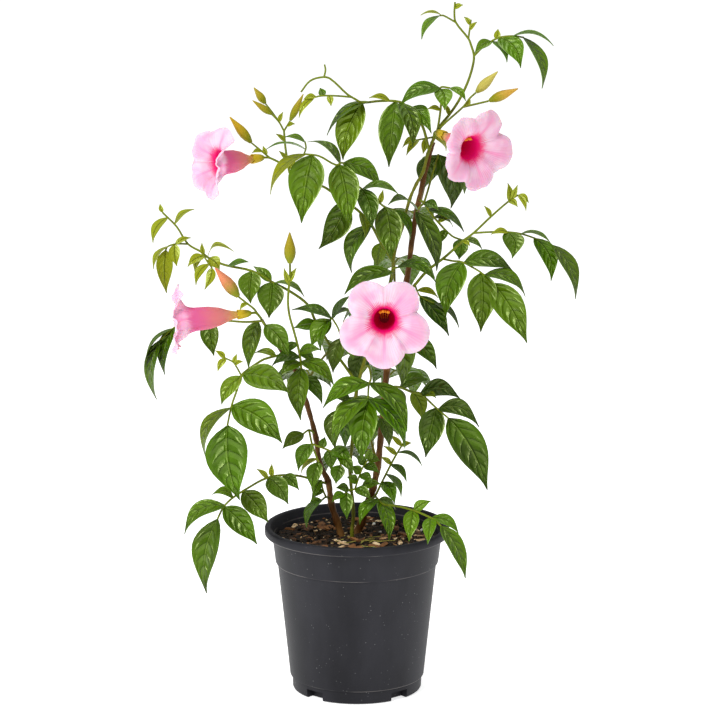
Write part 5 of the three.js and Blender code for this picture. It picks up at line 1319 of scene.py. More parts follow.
@dataclass
class Bench:
    """Makes the parts of a spray from moulds, each at its place."""

    workshop: Workshop
    palette: Palette
    blade: Blade = Blade()
    # Places along a bud and its width there, as shares of its length and its greatest width.
    bud_shares: Row = (0.0, 0.08, 0.2, 0.38, 0.54, 0.72, 0.9, 1.0)
    bud_widths: Row = (0.3, 0.5, 0.82, 1.0, 0.88, 0.56, 0.26, 0.1)
    # The higher, the shorter is the swelling at a knot.
    knot_power: int = 9

    def stem(self, points: Sequence[Vector], first: float, last: float, youth: float, steps: int = 4,
             knots: float = 0.0) -> Shape:
        """Make a round stem along points.

        Args:
            points: The stem's course, mm.
            first: Radius at its start, mm.
            last: Radius at its end, mm.
            youth: 0 for bark, 1 for green rind.
            steps: Lengths between two points.
            knots: How much it swells at each of the points, as a share of its radius.

        Returns:
            The stem.
        """
        frames = Line(points, steps).frames()
        lengths = len(frames) - 1
        mould = self.workshop.stem(lengths)
        rings = np.rint((mould.points[:, 2] + 0.5) * lengths).astype(int)
        shares = rings / lengths
        radii = first + (last - first) * shares
        if knots:
            phase = (rings % steps) / steps
            radii = radii * (1 + knots * np.cos(phase * 2 * math.pi) ** self.knot_power)
        table = np.array([[*point, *side, *over] for point, _, side, over in frames])[rings]
        across = (mould.points[:, 0] * radii)[:, None]
        over = (mould.points[:, 1] * radii)[:, None]
        moved = table[:, 0:3] + table[:, 3:6] * across + table[:, 6:9] * over
        places = np.stack([mould.points[:, 0], shares, radii], axis=1)
        return mould.copy(moved, places, (youth, 0.5, 0.0), [self.palette.stem])

    def leaflet(self, root: Vector, tip: Vector, width: float, face: Vector, tone: Tone,
                seed: float, bow: Vector | None = None) -> Shape:
        """Make a leaflet: a thin pointed blade, arched along its length and folded at its midrib.

        Args:
            root: Where it joins its stalk, mm.
            tip: Its point, mm.
            width: Its greatest width, mm.
            face: The way its upper side faces.
            tone: Its age and its light, which is partly painted light and shade.
            seed: Number that its small waves follow.
            bow: How far its middle lies off the line to its tip, mm; by rule if not given.

        Returns:
            The leaflet.
        """
        mould = self.workshop.leaf
        blade = self.blade
        span = tip - root
        length = span.length
        along = span.normalized()
        out = (face - along * face.dot(along)).normalized()
        side = out.cross(along)
        turned = -1.0 if tone is Tone.UNDERSIDE else 1.0
        across = mould.points[:, 0] * 2 * turned
        share = mould.points[:, 1] + 0.5
        layer = mould.points[:, 2] * turned
        half = width / 2 * np.interp(share, blade.shares, blade.widths) + blade.least_half_mm
        edge = np.abs(across)
        middle = 4 * share * (1 - share)
        rise = (bow if bow else blade.droop(root, span)) + out * (blade.arch * length)
        fold = half * blade.fold * edge ** 1.5 - half * blade.sink
        phase = TURN * chance(seed)
        depth = blade.ripple[0] + blade.ripple[1] * chance(seed + 5)
        ripple = half * depth * edge ** 2 * np.sin(share * blade.ripples + phase + across)
        sweep = length * blade.sweep * (chance(seed + 9) - 0.5) * middle
        thick = blade.thickness_mm * (1 - blade.edge_loss * edge ** 3)
        height = fold + ripple + layer * thick
        moved = (
            np.array(root) + np.outer(share, span) + np.outer(middle, rise)
            + np.outer(across * half + sweep, side) + np.outer(height, out)
        )
        youth, light, hue = tone.value
        light += blade.light_spread * (chance(seed + 2) - 0.5)
        hue += blade.hue_spread * chance(seed + 3)
        places = np.stack([across, share, np.full_like(share, length)], axis=1)
        finishes = [self.palette.leaf, self.palette.underside]
        return mould.copy(moved, places, (youth, light, hue), finishes)

    def bud(self, foot: Vector, tip: Vector, width: float, tint: Place) -> Shape:
        """Make a closed bud, fullest past its middle.

        Args:
            foot: Where it joins its stalk, mm.
            tip: Its end, mm.
            width: Its greatest width, mm.
            tint: How pale it is, how warm and how golden its tip is.

        Returns:
            The bud.
        """
        mould = self.workshop.bud
        _, along, side, over = Line([foot, tip]).frames()[0]
        share = (mould.points[:, 2] + 1) / 2
        ring = np.hypot(mould.points[:, 0], mould.points[:, 1])
        ring[ring < 1e-6] = 1
        profile = np.interp(share, self.bud_shares, self.bud_widths) * width / 2
        profile[np.abs(mould.points[:, 2]) > 0.999] = 0
        moved = (
            np.array(foot)
            + np.outer(share, tip - foot)
            + np.outer(mould.points[:, 0] / ring * profile, side)
            + np.outer(mould.points[:, 1] / ring * profile, over)
        )
        places = np.stack([mould.points[:, 0], share, profile], axis=1)
        return mould.copy(moved, places, tint, [self.palette.bud])


def choose(shape: Shape) -> None:
    """Select only one object and make it the active one.

    Args:
        shape: The object.
    """
    bpy.ops.object.select_all(action="DESELECT")
    shape.select_set(True)
    bpy.context.view_layer.objects.active = shape


def thickened(sheet: Shape, wall: float, slot_step: int = 0) -> None:
    """Give a sheet a wall on its inner side.

    Args:
        sheet: The sheet.
        wall: Thickness of the wall, mm.
        slot_step: How many slots after the sheet's own the inner side's material lies.
    """
    choose(sheet)
    change = sheet.modifiers.new("wall", "SOLIDIFY")
    change.thickness = wall * MM
    change.offset = -1
    change.material_offset = slot_step
    bpy.ops.object.modifier_apply(modifier=change.name)


def joined(name: str, parts: Sequence[Shape], sharp: float = 40.0) -> Shape:
    """Join objects into one piece with smooth faces.

    Args:
        name: The piece's name.
        parts: The objects.
        sharp: Edges sharper than this stay sharp, degrees.

    Returns:
        The piece.
    """
    choose(parts[0])
    for part in parts:
        part.select_set(True)
    if len(parts) > 1:
        bpy.ops.object.join()
    piece = bpy.context.active_object
    bpy.ops.object.shade_smooth_by_angle(angle=math.radians(sharp))
    piece.name = name
    piece.data.name = name
    return piece


def settle(piece: Shape, slot: str, *nodes: str) -> None:
    """Ride a finished piece on the plant's body and report it.

    Args:
        piece: The piece.
        slot: Not used.
        nodes: The CAD nodes that it stands in for.
    """
    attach(piece, ROOT_BODY)
    if nodes:
        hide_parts(*nodes)
    LOG.info("%s: %d faces", piece.name, len(piece.data.polygons))


def nearest_on(path: Sequence[Place], x: float, y: float) -> tuple[float, Place]:
    """Find the nearest place of a drawn path.

    Args:
        path: Places with depth.
        x: Picture place, px.
        y: Picture place, px.

    Returns:
        The distance in the picture and the place, with the path's depth there.
    """
    best: tuple[float, Place] = (math.inf, path[0])
    for first, last in zip(path, path[1:]):
        run = (last[0] - first[0]) ** 2 + (last[1] - first[1]) ** 2
        raw = ((x - first[0]) * (last[0] - first[0]) + (y - first[1]) * (last[1] - first[1])) / (run or 1)
        share = min(max(raw, 0.0), 1.0)
        place = tuple(a + (b - a) * share for a, b in zip(first, last))
        distance = math.hypot(place[0] - x, place[1] - y)
        if distance < best[0]:
            best = (distance, place)
    return best


@dataclass
class Canes:
    """The woody stems that stand in the soil; the thin one is still mostly green."""

    plans: tuple[Cane, ...]
    bench: Bench
    green_cane: str = "cane_middle"
    green_youth: float = 0.75
    lengths: int = 6
    knots: float = 0.16
    sharp: float = 60.0

    def build(self) -> None:
        """Build each cane as a piece with knots where leaves have grown."""
        for cane in self.plans:
            youth = self.green_youth if cane.name == self.green_cane else 0.0
            points = [SIGHT.drawn(place) for place in cane.path]
            stem = self.bench.stem(points, *cane.radii, youth, self.lengths, self.knots)
            settle(joined(cane.name + "_bark", [stem], self.sharp), "bark", cane.name)


@dataclass(frozen=True)
class BackLeaf:
    """A pinnate leaf at the back, in mm and in shares of its stalk's or a leaflet's length.

    Its stalk rises and then falls. A leaflet reaches aside, outward and down, and its length is a
    least share and how much chance adds.
    """

    stalk: float = 34.0
    leaflet: float = 34.0
    width: float = 17.0
    stalk_radii: Band = (0.9, 0.8)
    stalk_youth: float = 0.8
    stalk_rise: float = 0.34
    stalk_fall: float = 0.5
    lean: float = 0.8
    pairs: Band = (0.45, 0.85)
    length_range: Band = (0.8, 0.25)
    aside: float = 0.74
    outward: float = 0.42
    down: float = 0.5
    end_reach: float = 0.75
    end_width: float = 1.1


@dataclass
class Foliage:
    """All leafy stems and compound leaves, drawn and ruled."""

    sprays: tuple[Spray, ...]
    back_shoots: tuple[BackShoot, ...]
    canes: tuple[Cane, ...]
    bench: Bench
    back_leaf: BackLeaf = BackLeaf()
    grown_ratio: float = 0.42
    bract_ratio: float = 0.24
    # A twig of this radius is all bark, and one thinner by the span is all green, mm.
    bark_radius: float = 2.2
    green_span: float = 0.8
    # Radii (mm), greenness and course of a back shoot's stem, and how its height bends over.
    back_radii: Band = (1.2, 0.9)
    back_youth: float = 0.6
    back_course: Row = (0.0, 0.35, 0.7, 1.0)
    back_bend: float = 0.25
    back_first: float = 0.3
    back_swing: Band = (0.75, 0.5)

    @staticmethod
    def facing(root: Vector, tip: Vector, width: float, ratio: float) -> tuple[Vector, float]:
        """Find the way a leaflet faces and its true width.

        Args:
            root: Its root, mm.
            tip: Its tip, mm.
            width: Its width as seen, mm.
            ratio: Least true width over its length.

        Returns:
            The way its upper side faces, and its width, mm.
        """
        along = (tip - root).normalized()
        seen = (SKYWARD - along * SKYWARD.dot(along)).normalized()
        true_width = max(width, ratio * (tip - root).length)
        turn = math.acos(min(width / true_width, 1))
        outward = Vector((math.copysign(0.6, along.x), 0, 0.8))
        ways = [Matrix.Rotation(angle, 3, along) @ seen for angle in (turn, -turn)]
        return max(ways, key=lambda way: way.dot(outward)), true_width

    @staticmethod
    def tone(spray: Spray, leaflet: Place) -> Tone:
        """Find the tone of one leaflet.

        Args:
            spray: The leaflet's spray.
            leaflet: Its plan.

        Returns:
            Its own tone where it has one, or else its age's or its spray's.
        """
        own = LEAFLET_TONES.get((leaflet[2], leaflet[3]))
        if own:
            return own
        if leaflet[4] < BRACT_WIDTH or any(spray.name == name and leaflet[2] < x for name, x in YOUNG_PLACES):
            return Tone.YOUNG
        return SPRAY_TONES.get(spray.name, Tone.GROWN)

    def build_spray(self, number: int, spray: Spray) -> None:
        """Build one drawn spray as a piece.

        Args:
            number: Its place in the list, for the seeds of its leaves.
            spray: Its plan.
        """
        bench = self.bench
        parts = []
        paths = [path for _, _, path in spray.twigs]
        for first, last, path in spray.twigs:
            youth = min(max((self.bark_radius - first) / self.green_span, 0.0), 1.0)
            parts.append(bench.stem([SIGHT.drawn(place) for place in path], first, last, youth))
        for index, leaflet in enumerate(spray.leaflets):
            x, y, tip_x, tip_y, width, reach, *middle = leaflet
            place = min((nearest_on(path, x, y) for path in paths), key=lambda one: one[0])[1]
            root = SIGHT.drawn(place)
            tip = SIGHT.drawn((tip_x, tip_y, place[2] + reach))
            ratio = self.bract_ratio if width < BRACT_WIDTH else self.grown_ratio
            face, true_width = self.facing(root, tip, width * SIGHT.mm_per_px, ratio)
            tone = self.tone(spray, leaflet)
            bow = None
            if middle:
                bow = SIGHT.shift(middle[0] - (place[0] + tip_x) / 2, middle[1] - (place[1] + tip_y) / 2)
            seed = number * SPRAY_SEEDS + index
            parts.append(bench.leaflet(root, tip, true_width, face, tone, seed, bow))
        for x, y, tip_x, tip_y, width, depth, reach in spray.buds:
            foot = SIGHT.drawn((x, y, depth))
            tip = SIGHT.drawn((tip_x, tip_y, depth + reach))
            tint = BUD_TINTS.get((tip_x, tip_y), PLAIN_BUD)
            parts.append(bench.bud(foot, tip, width * SIGHT.mm_per_px, tint))
        settle(joined(spray.name + "_growth", parts), "leaf", spray.name)

    def pinnate_leaf(self, root: Vector, azimuth: float, seed: float) -> list[Shape]:
        """Make a pinnate leaf with two pairs of leaflets and one at its end.

        Args:
            root: Where its stalk starts, mm.
            azimuth: The way it leans, radians.
            seed: Number that its leaflets' lengths follow.

        Returns:
            Its parts.
        """
        leaf = self.back_leaf
        heading = Vector((math.cos(azimuth), math.sin(azimuth), 0))
        across = Vector((-heading.y, heading.x, 0))

        def place(share: float) -> Vector:
            """Return a point of the stalk."""
            rise = leaf.stalk_rise * share - leaf.stalk_fall * share * share
            return root + heading * (leaf.stalk * share) + UP * (leaf.stalk * rise)

        face = UP + heading * leaf.lean
        stalk = [place(0), place(0.5), place(1)]
        parts = [self.bench.stem(stalk, *leaf.stalk_radii, leaf.stalk_youth)]
        for pair, share in enumerate(leaf.pairs):
            for hand in (-1, 1):
                start = place(share)
                own_seed = seed + pair * 2 + hand
                size = leaf.length_range[0] + leaf.length_range[1] * chance(own_seed)
                reach = leaf.leaflet * size
                way = across * (hand * leaf.aside) + heading * leaf.outward - UP * leaf.down
                tip = start + way * reach
                parts.append(self.bench.leaflet(start, tip, leaf.width * size, face, Tone.GROWN, own_seed))
        end = place(1) + (heading - UP) * (leaf.leaflet * leaf.end_reach)
        width = leaf.width * leaf.end_width
        parts.append(self.bench.leaflet(place(1), end, width, face, Tone.GROWN, seed + 8))
        return parts

    def build_back_shoot(self, number: int, shoot: BackShoot) -> None:
        """Build one shoot at the back as a piece.

        Args:
            number: Its place in the list.
            shoot: Its plan.
        """
        cane = next(cane for cane in self.canes if cane.name == shoot.cane)
        root = SIGHT.drawn(nearest_on(cane.path, *shoot.start)[1])
        lean = math.radians(shoot.azimuth)
        heading = Vector((math.cos(lean), math.sin(lean), 0))

        def place(share: float) -> Vector:
            """Return a point of the shoot's stem."""
            rise = shoot.height * (share - self.back_bend * share * share)
            return root + heading * (shoot.out * share) + UP * rise

        course = [place(share) for share in self.back_course]
        parts = [self.bench.stem(course, *self.back_radii, self.back_youth)]
        for leaf in range(shoot.leaves):
            share = self.back_first + (1 - self.back_first) * leaf / max(shoot.leaves - 1, 1)
            swing = (1 if leaf % 2 == 0 else -1) * (self.back_swing[0] - self.back_swing[1] * share)
            seed = number * SHOOT_SEEDS + leaf * LEAF_SEEDS
            parts += self.pinnate_leaf(place(share), lean + swing, seed)
        settle(joined(shoot.name + "_growth", parts), "leaf", shoot.name)

    def build(self) -> None:
        """Build every spray and back shoot."""
        for number, spray in enumerate(self.sprays):
            self.build_spray(number, spray)
        for number, shoot in enumerate(self.back_shoots):
            self.build_back_shoot(number, shoot)


@dataclass(frozen=True)
class Axis:
    """A flower's foot (mm), the way to its mouth, its side and the way over it."""

    foot: Vector
    way: Vector
    side: Vector
    over: Vector

    def around(self, station: np.ndarray, radius: np.ndarray, angle: np.ndarray) -> np.ndarray:
        """Return the points (mm) at stations, radii and angles about the axis."""
        return (
            np.array(self.foot) + np.outer(station, self.way)
            + np.outer(np.cos(angle) * radius, self.side) + np.outer(np.sin(angle) * radius, self.over)
        )


@dataclass(frozen=True)
class Trumpet:
    """The form of a corolla, in mm and in shares of its rows or of a lobe's half width.

    The first three rows are the share of the rows, the station along the axis and the radius there.
    """

    shares: Row = (0.0, 0.05, 0.12, 0.2, 0.3, 0.4, 0.5, 0.55, 0.6, 0.66, 0.74, 0.84, 0.93, 1.0)
    along: Row = (7.0, 10.0, 14.0, 18.0, 23.5, 31.0, 41.0, 44.6, 46.6, 47.9, 48.8, 49.3, 48.8, 47.4)
    radii: Row = (2.3, 2.6, 3.2, 4.7, 7.3, 9.1, 9.6, 10.4, 12.6, 16.4, 21.2, 27.2, 31.8, 34.6)
    mouth: float = 0.55
    wall: float = 0.8
    lobe_radius: float = 16.5
    lobe_spread: float = 27.0
    wave: float = 1.3
    # Strength, degrees over half a lobe and phase per lobe of each ripple.
    ripples: tuple[Row, ...] = ((1.0, 300.0, 2.3), (0.6, 680.0, 1.0))
    # Least overlap of the lobes, how much it differs and the difference's phase per lobe.
    overlap: Row = (0.9, 0.7, 1.7)
    flare: float = 1.5
    bend_rate: float = 2.2
    crease: float = 1.3
    crease_width: float = 0.16
    curl: float = 2.2
    sharp: float = 75.0


@dataclass(frozen=True)
class Cup:
    """The form of a calyx, in mm; the two rows are the share of its length and the radius there."""

    shares: Row = (0.0, 0.08, 0.3, 0.7, 1.0)
    radii: Row = (1.1, 2.0, 3.0, 3.7, 4.1)
    length: float = 11.0
    hem: float = 0.6
    tooth: float = 1.6
    tooth_at: float = 0.7
    wall: float = 0.7
    sharp: float = 60.0


@dataclass
class Blooms:
    """The trumpet flowers: corolla, calyx and stamens."""

    plans: tuple[Flower, ...]
    bench: Bench
    trumpet: Trumpet = Trumpet()
    cup: Cup = Cup()
    drawn_length: float = 45.0
    # Where the stamens start, end and stand across the throat, and the disc at their foot, mm.
    stamen_foot: float = 17.5
    stamen_end: float = 39.0
    stamen_step: float = 2.0
    stamen_drop: float = 0.3
    stamen_bend: float = 28.0
    bend_share: float = 0.8
    foot_share: float = 0.7
    stamen_youth: float = 0.9
    anther_reach: Band = (-2.0, 3.0)
    stamen_places: Row = (-3.2, -1.1, 1.1, 3.2)
    stamen_rise: float = 6.9
    stamen_radii: Band = (0.6, 0.55)
    anther_width: float = 3.0
    disc_at: Band = (17.0, 18.2)
    disc_radii: Band = (3.9, 4.2)

    def frame(self, flower: Flower) -> tuple[Axis, float]:
        """Find where a flower stands.

        Args:
            flower: Its plan.

        Returns:
            Its axis and the stretch of its tube.
        """
        foot = SIGHT.drawn(flower.foot)
        x, y, forward = flower.mouth
        mouth = SIGHT.point(x, y, foot.y + forward)
        _, way, side, over = Line([foot, mouth]).frames()[0]
        stretch = ((mouth - foot).length - self.cup.length) / (self.drawn_length - self.cup.length)
        return Axis(foot, way, side, over), stretch

    def reach(self, along: np.ndarray, stretch: float) -> np.ndarray:
        """Return how far from the foot a drawn station lies: the part in the calyx isn't stretched."""
        within = np.minimum(along, self.cup.length)
        return within + np.maximum(along - self.cup.length, 0) * stretch

    def lobe_shape(self, degrees: np.ndarray, flower: Flower) -> tuple[np.ndarray, ...]:
        """Find the outline of the limb and what lobe each angle lies in.

        Args:
            degrees: Angles about the axis.
            flower: The flower's plan.

        Returns:
            The limb's reach (mm) and lean (radians) at each angle, the place in its lobe from -1 to
            1, and the lobe's number.
        """
        lobe_radius = self.trumpet.lobe_radius
        centres, reaches, leans = (np.array(column, dtype=float) for column in zip(*flower.lobes))
        off = (degrees[:, None] - centres + 180) % 360 - 180
        swing = np.radians(np.clip(off, -80, 80))
        middle = reaches - lobe_radius
        inside = np.maximum(lobe_radius ** 2 - (middle * np.sin(swing)) ** 2, 0)
        arcs = middle * np.cos(swing) + np.sqrt(inside)
        weights = np.exp(-((off / self.trumpet.lobe_spread) ** 2))
        lean = (weights * leans).sum(axis=1) / weights.sum(axis=1)
        gaps = np.diff(np.append(centres, centres[0] + 360))
        half = np.where(off >= 0, gaps / 2, np.roll(gaps, 1) / 2)
        number = np.argmin(np.abs(off / half), axis=1)
        rows = np.arange(len(degrees))
        return arcs.max(axis=1), np.radians(lean), (off / half)[rows, number], number

    def corolla(self, flower: Flower) -> None:
        """Build a trumpet: a slim tube that opens into five broad, wavy lobes.

        Args:
            flower: Its plan.
        """
        form = self.trumpet
        axis, stretch = self.frame(flower)
        mould = self.bench.workshop.trumpet
        share = mould.points[:, 2] + 0.5
        angle = np.arctan2(mould.points[:, 1], mould.points[:, 0])
        reach, lean, lobe, number = self.lobe_shape(np.degrees(angle), flower)
        limb = np.clip((share - form.mouth) / (1 - form.mouth), 0, 1)
        mouth_radius = np.interp(form.mouth, form.shares, form.radii)
        mouth_station = np.interp(form.mouth, form.shares, form.along)
        drawn_limb = form.radii[-1] - mouth_radius
        off = np.interp(share, form.shares, form.radii) - mouth_radius
        out = off * np.where(limb > 0, (reach - mouth_radius) / drawn_limb, 1.0)
        wave = sum(
            size * np.sin(np.radians(lobe * turn) + number * phase) for size, turn, phase in form.ripples
        )
        least, change, phase = form.overlap
        overlap = (least + change * np.sin(number * phase)) * lobe * np.abs(lobe)
        crease = form.crease * np.exp(-((lobe / form.crease_width) ** 2))
        curl = form.curl * np.abs(lobe) ** 3 * np.sin(math.pi * limb)
        forward = np.interp(share, form.shares, form.along) - mouth_station
        forward = forward + limb ** form.flare * (form.wave * wave * limb + overlap - crease) + curl
        bend = lean * np.clip(limb * form.bend_rate, 0, 1)
        radius = mouth_radius + np.where(limb > 0, out * np.cos(bend) - forward * np.sin(bend), out)
        station = mouth_station + np.where(limb > 0, out * np.sin(bend) + forward * np.cos(bend), forward)
        moved = axis.around(self.reach(station, stretch), radius, angle)
        places = np.stack([lobe, share, limb], axis=1)
        palette = self.bench.palette
        piece = mould.copy(moved, places, (0, 0.5, 0), [palette.petal_outside, palette.petal_inside])
        thickened(piece, form.wall, 1)
        finished = joined(f"petals_{flower.name}", [piece], form.sharp)
        settle(finished, "petal", f"corolla_{flower.name}")

    def calyx(self, flower: Flower) -> None:
        """Build the cup that holds the foot of the trumpet, with five small teeth.

        Args:
            flower: Its plan.
        """
        form = self.cup
        axis, _ = self.frame(flower)
        mould = self.bench.workshop.cup
        share = mould.points[:, 2] + 0.5
        angle = np.arctan2(mould.points[:, 1], mould.points[:, 0])
        top = np.clip((share - form.tooth_at) / (1 - form.tooth_at), 0, 1)
        station = share * (form.length - form.hem) + form.tooth * np.abs(np.cos(angle * 2.5)) * top
        radius = np.interp(share, form.shares, form.radii)
        places = np.stack([mould.points[:, 0], share, radius], axis=1)
        moved = axis.around(station, radius, angle)
        piece = mould.copy(moved, places, (0, 0.8, 0), [self.bench.palette.calyx])
        thickened(piece, form.wall)
        settle(joined(f"calyx_{flower.name}", [piece], form.sharp), "leaf")

    def stamens(self, flower: Flower) -> None:
        """Build four stamens that lean on the upper side of the throat, on one disc.

        Args:
            flower: Its plan.
        """
        axis, stretch = self.frame(flower)

        def place(station: float, across: float, rise: float) -> Vector:
            """Return a point in the trumpet, mm."""
            distance = float(self.reach(np.array(station), stretch))
            return axis.foot + axis.way * distance + axis.side * across + axis.over * rise

        upward = 1 if axis.over.dot(UP) > 0 else -1
        disc = [place(station, 0, 0) for station in self.disc_at]
        parts = [self.bench.stem(disc, *self.disc_radii, self.stamen_youth)]
        for index, across in enumerate(self.stamen_places):
            end = self.stamen_end + (index % 2) * self.stamen_step
            rise = upward * (self.stamen_rise - abs(across) * self.stamen_drop)
            course = [
                place(self.stamen_foot, across * self.foot_share, 0),
                place(self.stamen_bend, across, rise * self.bend_share),
                place(end, across, rise),
            ]
            parts.append(self.bench.stem(course, *self.stamen_radii, self.stamen_youth))
            ends = [place(end + reach, across, rise) for reach in self.anther_reach]
            parts.append(self.bench.bud(*ends, self.anther_width, (0.0, 1.0, 0.0)))
        for part in parts:
            part.data.materials[0] = self.bench.palette.anther
        parts[0].data.materials[0] = self.bench.palette.throat
        settle(joined(f"stamen_set_{flower.name}", parts), "stamen", f"stamens_{flower.name}")

    def build(self) -> None:
        """Build every flower."""
        for flower in self.plans:
            self.corolla(flower)
            self.calyx(flower)
            if flower.open:
                self.stamens(flower)


@dataclass
class NurseryPot:
    """The moulded pot: a tapered wall with a collar band, a rolled rim and four drainage notches."""

    palette: Palette
    sides: int = 144
    wall: float = 1.6
    foot_radius: float = 52.2
    notch_width: float = 17.0
    notch_height: float = 7.5
    notch_back: float = 46.0
    notch_angles: tuple[float, ...] = (49.0, 131.0, 229.0, 311.0)
    # The notch is cut from below the foot to beyond the wall; its lining starts above the foot.
    notch_front: float = 64.0
    notch_bottom: float = -2.0
    lining_bottom: float = 1.0
    sharp: float = 50.0
    # Radius and height of each ring, up the outside, over the rim and down the inside, mm.
    rings: tuple[tuple[float, float], ...] = (
        (53.1, 0.3), (53.6, 1.2), (54.0, 10.6), (54.1, 11.0), (55.4, 11.2), (55.8, 12.0),
        (65.9, 106.9), (66.1, 107.4), (67.2, 107.8), (67.6, 108.6), (70.3, 130.4), (70.8, 131.2),
        (75.6, 131.4), (76.4, 132.2), (76.6, 133.2), (76.5, 137.0), (76.0, 138.0), (75.0, 138.5),
        (72.8, 138.5), (71.8, 138.0), (71.4, 137.0), (68.0, 130.4), (63.6, 106.4), (53.6, 12.0),
        (52.2, 6.4), (50.0, 2.2),
    )

    def turned(self) -> Shape:
        """Return the pot's round form: its foot's edge drawn up and resized from ring to ring."""
        pot = Workshop.primitive(
            bpy.ops.mesh.primitive_circle_add, vertices=self.sides, radius=self.foot_radius * MM,
            fill_type="NGON",
        )
        bpy.ops.object.mode_set(mode="EDIT")
        bpy.ops.mesh.select_all(action="SELECT")
        radius, height = self.foot_radius, 0.0
        for next_radius, next_height in self.rings:
            lift = (0, 0, (next_height - height) * MM)
            bpy.ops.mesh.extrude_region_move(TRANSFORM_OT_translate={"value": lift})
            size = next_radius / radius
            bpy.ops.transform.resize(value=(size, size, 1), center_override=(0, 0, next_height * MM))
            radius, height = next_radius, next_height
        bpy.ops.mesh.select_all(action="SELECT")
        bpy.ops.mesh.normals_make_consistent(inside=False)
        bpy.ops.object.mode_set(mode="OBJECT")
        return pot

    def build(self) -> None:
        """Build the pot as one piece with its notches."""
        pot = self.turned()
        lining_back = self.notch_back - self.wall
        lining_width = self.notch_width + 2 * self.wall
        for degrees in self.notch_angles:
            angle = math.radians(degrees)
            lining = (lining_back, self.foot_radius, lining_width, self.lining_bottom)
            self.foot_box(pot, "UNION", angle, lining, self.notch_height + self.wall)
            notch = (self.notch_back, self.notch_front, self.notch_width, self.notch_bottom)
            self.foot_box(pot, "DIFFERENCE", angle, notch, self.notch_height)
        piece = joined("nursery_pot", [pot], self.sharp)
        piece.data.materials.append(self.palette.pot)
        settle(piece, "pot", "pot")

    @staticmethod
    def foot_box(pot: Shape, operation: str, angle: float, room: Place, top: float) -> None:
        """Join a box to the pot's foot or cut it away.

        Args:
            pot: The pot.
            operation: UNION or DIFFERENCE.
            angle: Where about the pot the box lies, radians.
            room: Its inner and outer distance from the axis, its width and its lower height, mm.
            top: Its upper height, mm.
        """
        inner, outer, width, bottom = room
        middle = (inner + outer) / 2 * MM
        box = Workshop.primitive(
            bpy.ops.mesh.primitive_cube_add, size=1,
            scale=((outer - inner) * MM, width * MM, (top - bottom) * MM),
            location=(middle * math.cos(angle), middle * math.sin(angle), (top + bottom) / 2 * MM),
            rotation=(0, 0, angle),
        )
        change = pot.modifiers.new("foot", "BOOLEAN")
        change.operation = operation
        change.solver = "EXACT"
        change.object = box
        choose(pot)
        bpy.ops.object.modifier_apply(modifier=change.name)
        bpy.data.objects.remove(box)


@dataclass(frozen=True)
class Bits:
    """One kind of loose bits on the soil.

    The sizes are the least and the greatest (mm), the stretch is a bit's length, width and
    thickness over its size, and the seed is the number that the bits' places follow.
    """

    name: str
    count: int
    sizes: tuple[float, float]
    stretch: Place
    seed: float


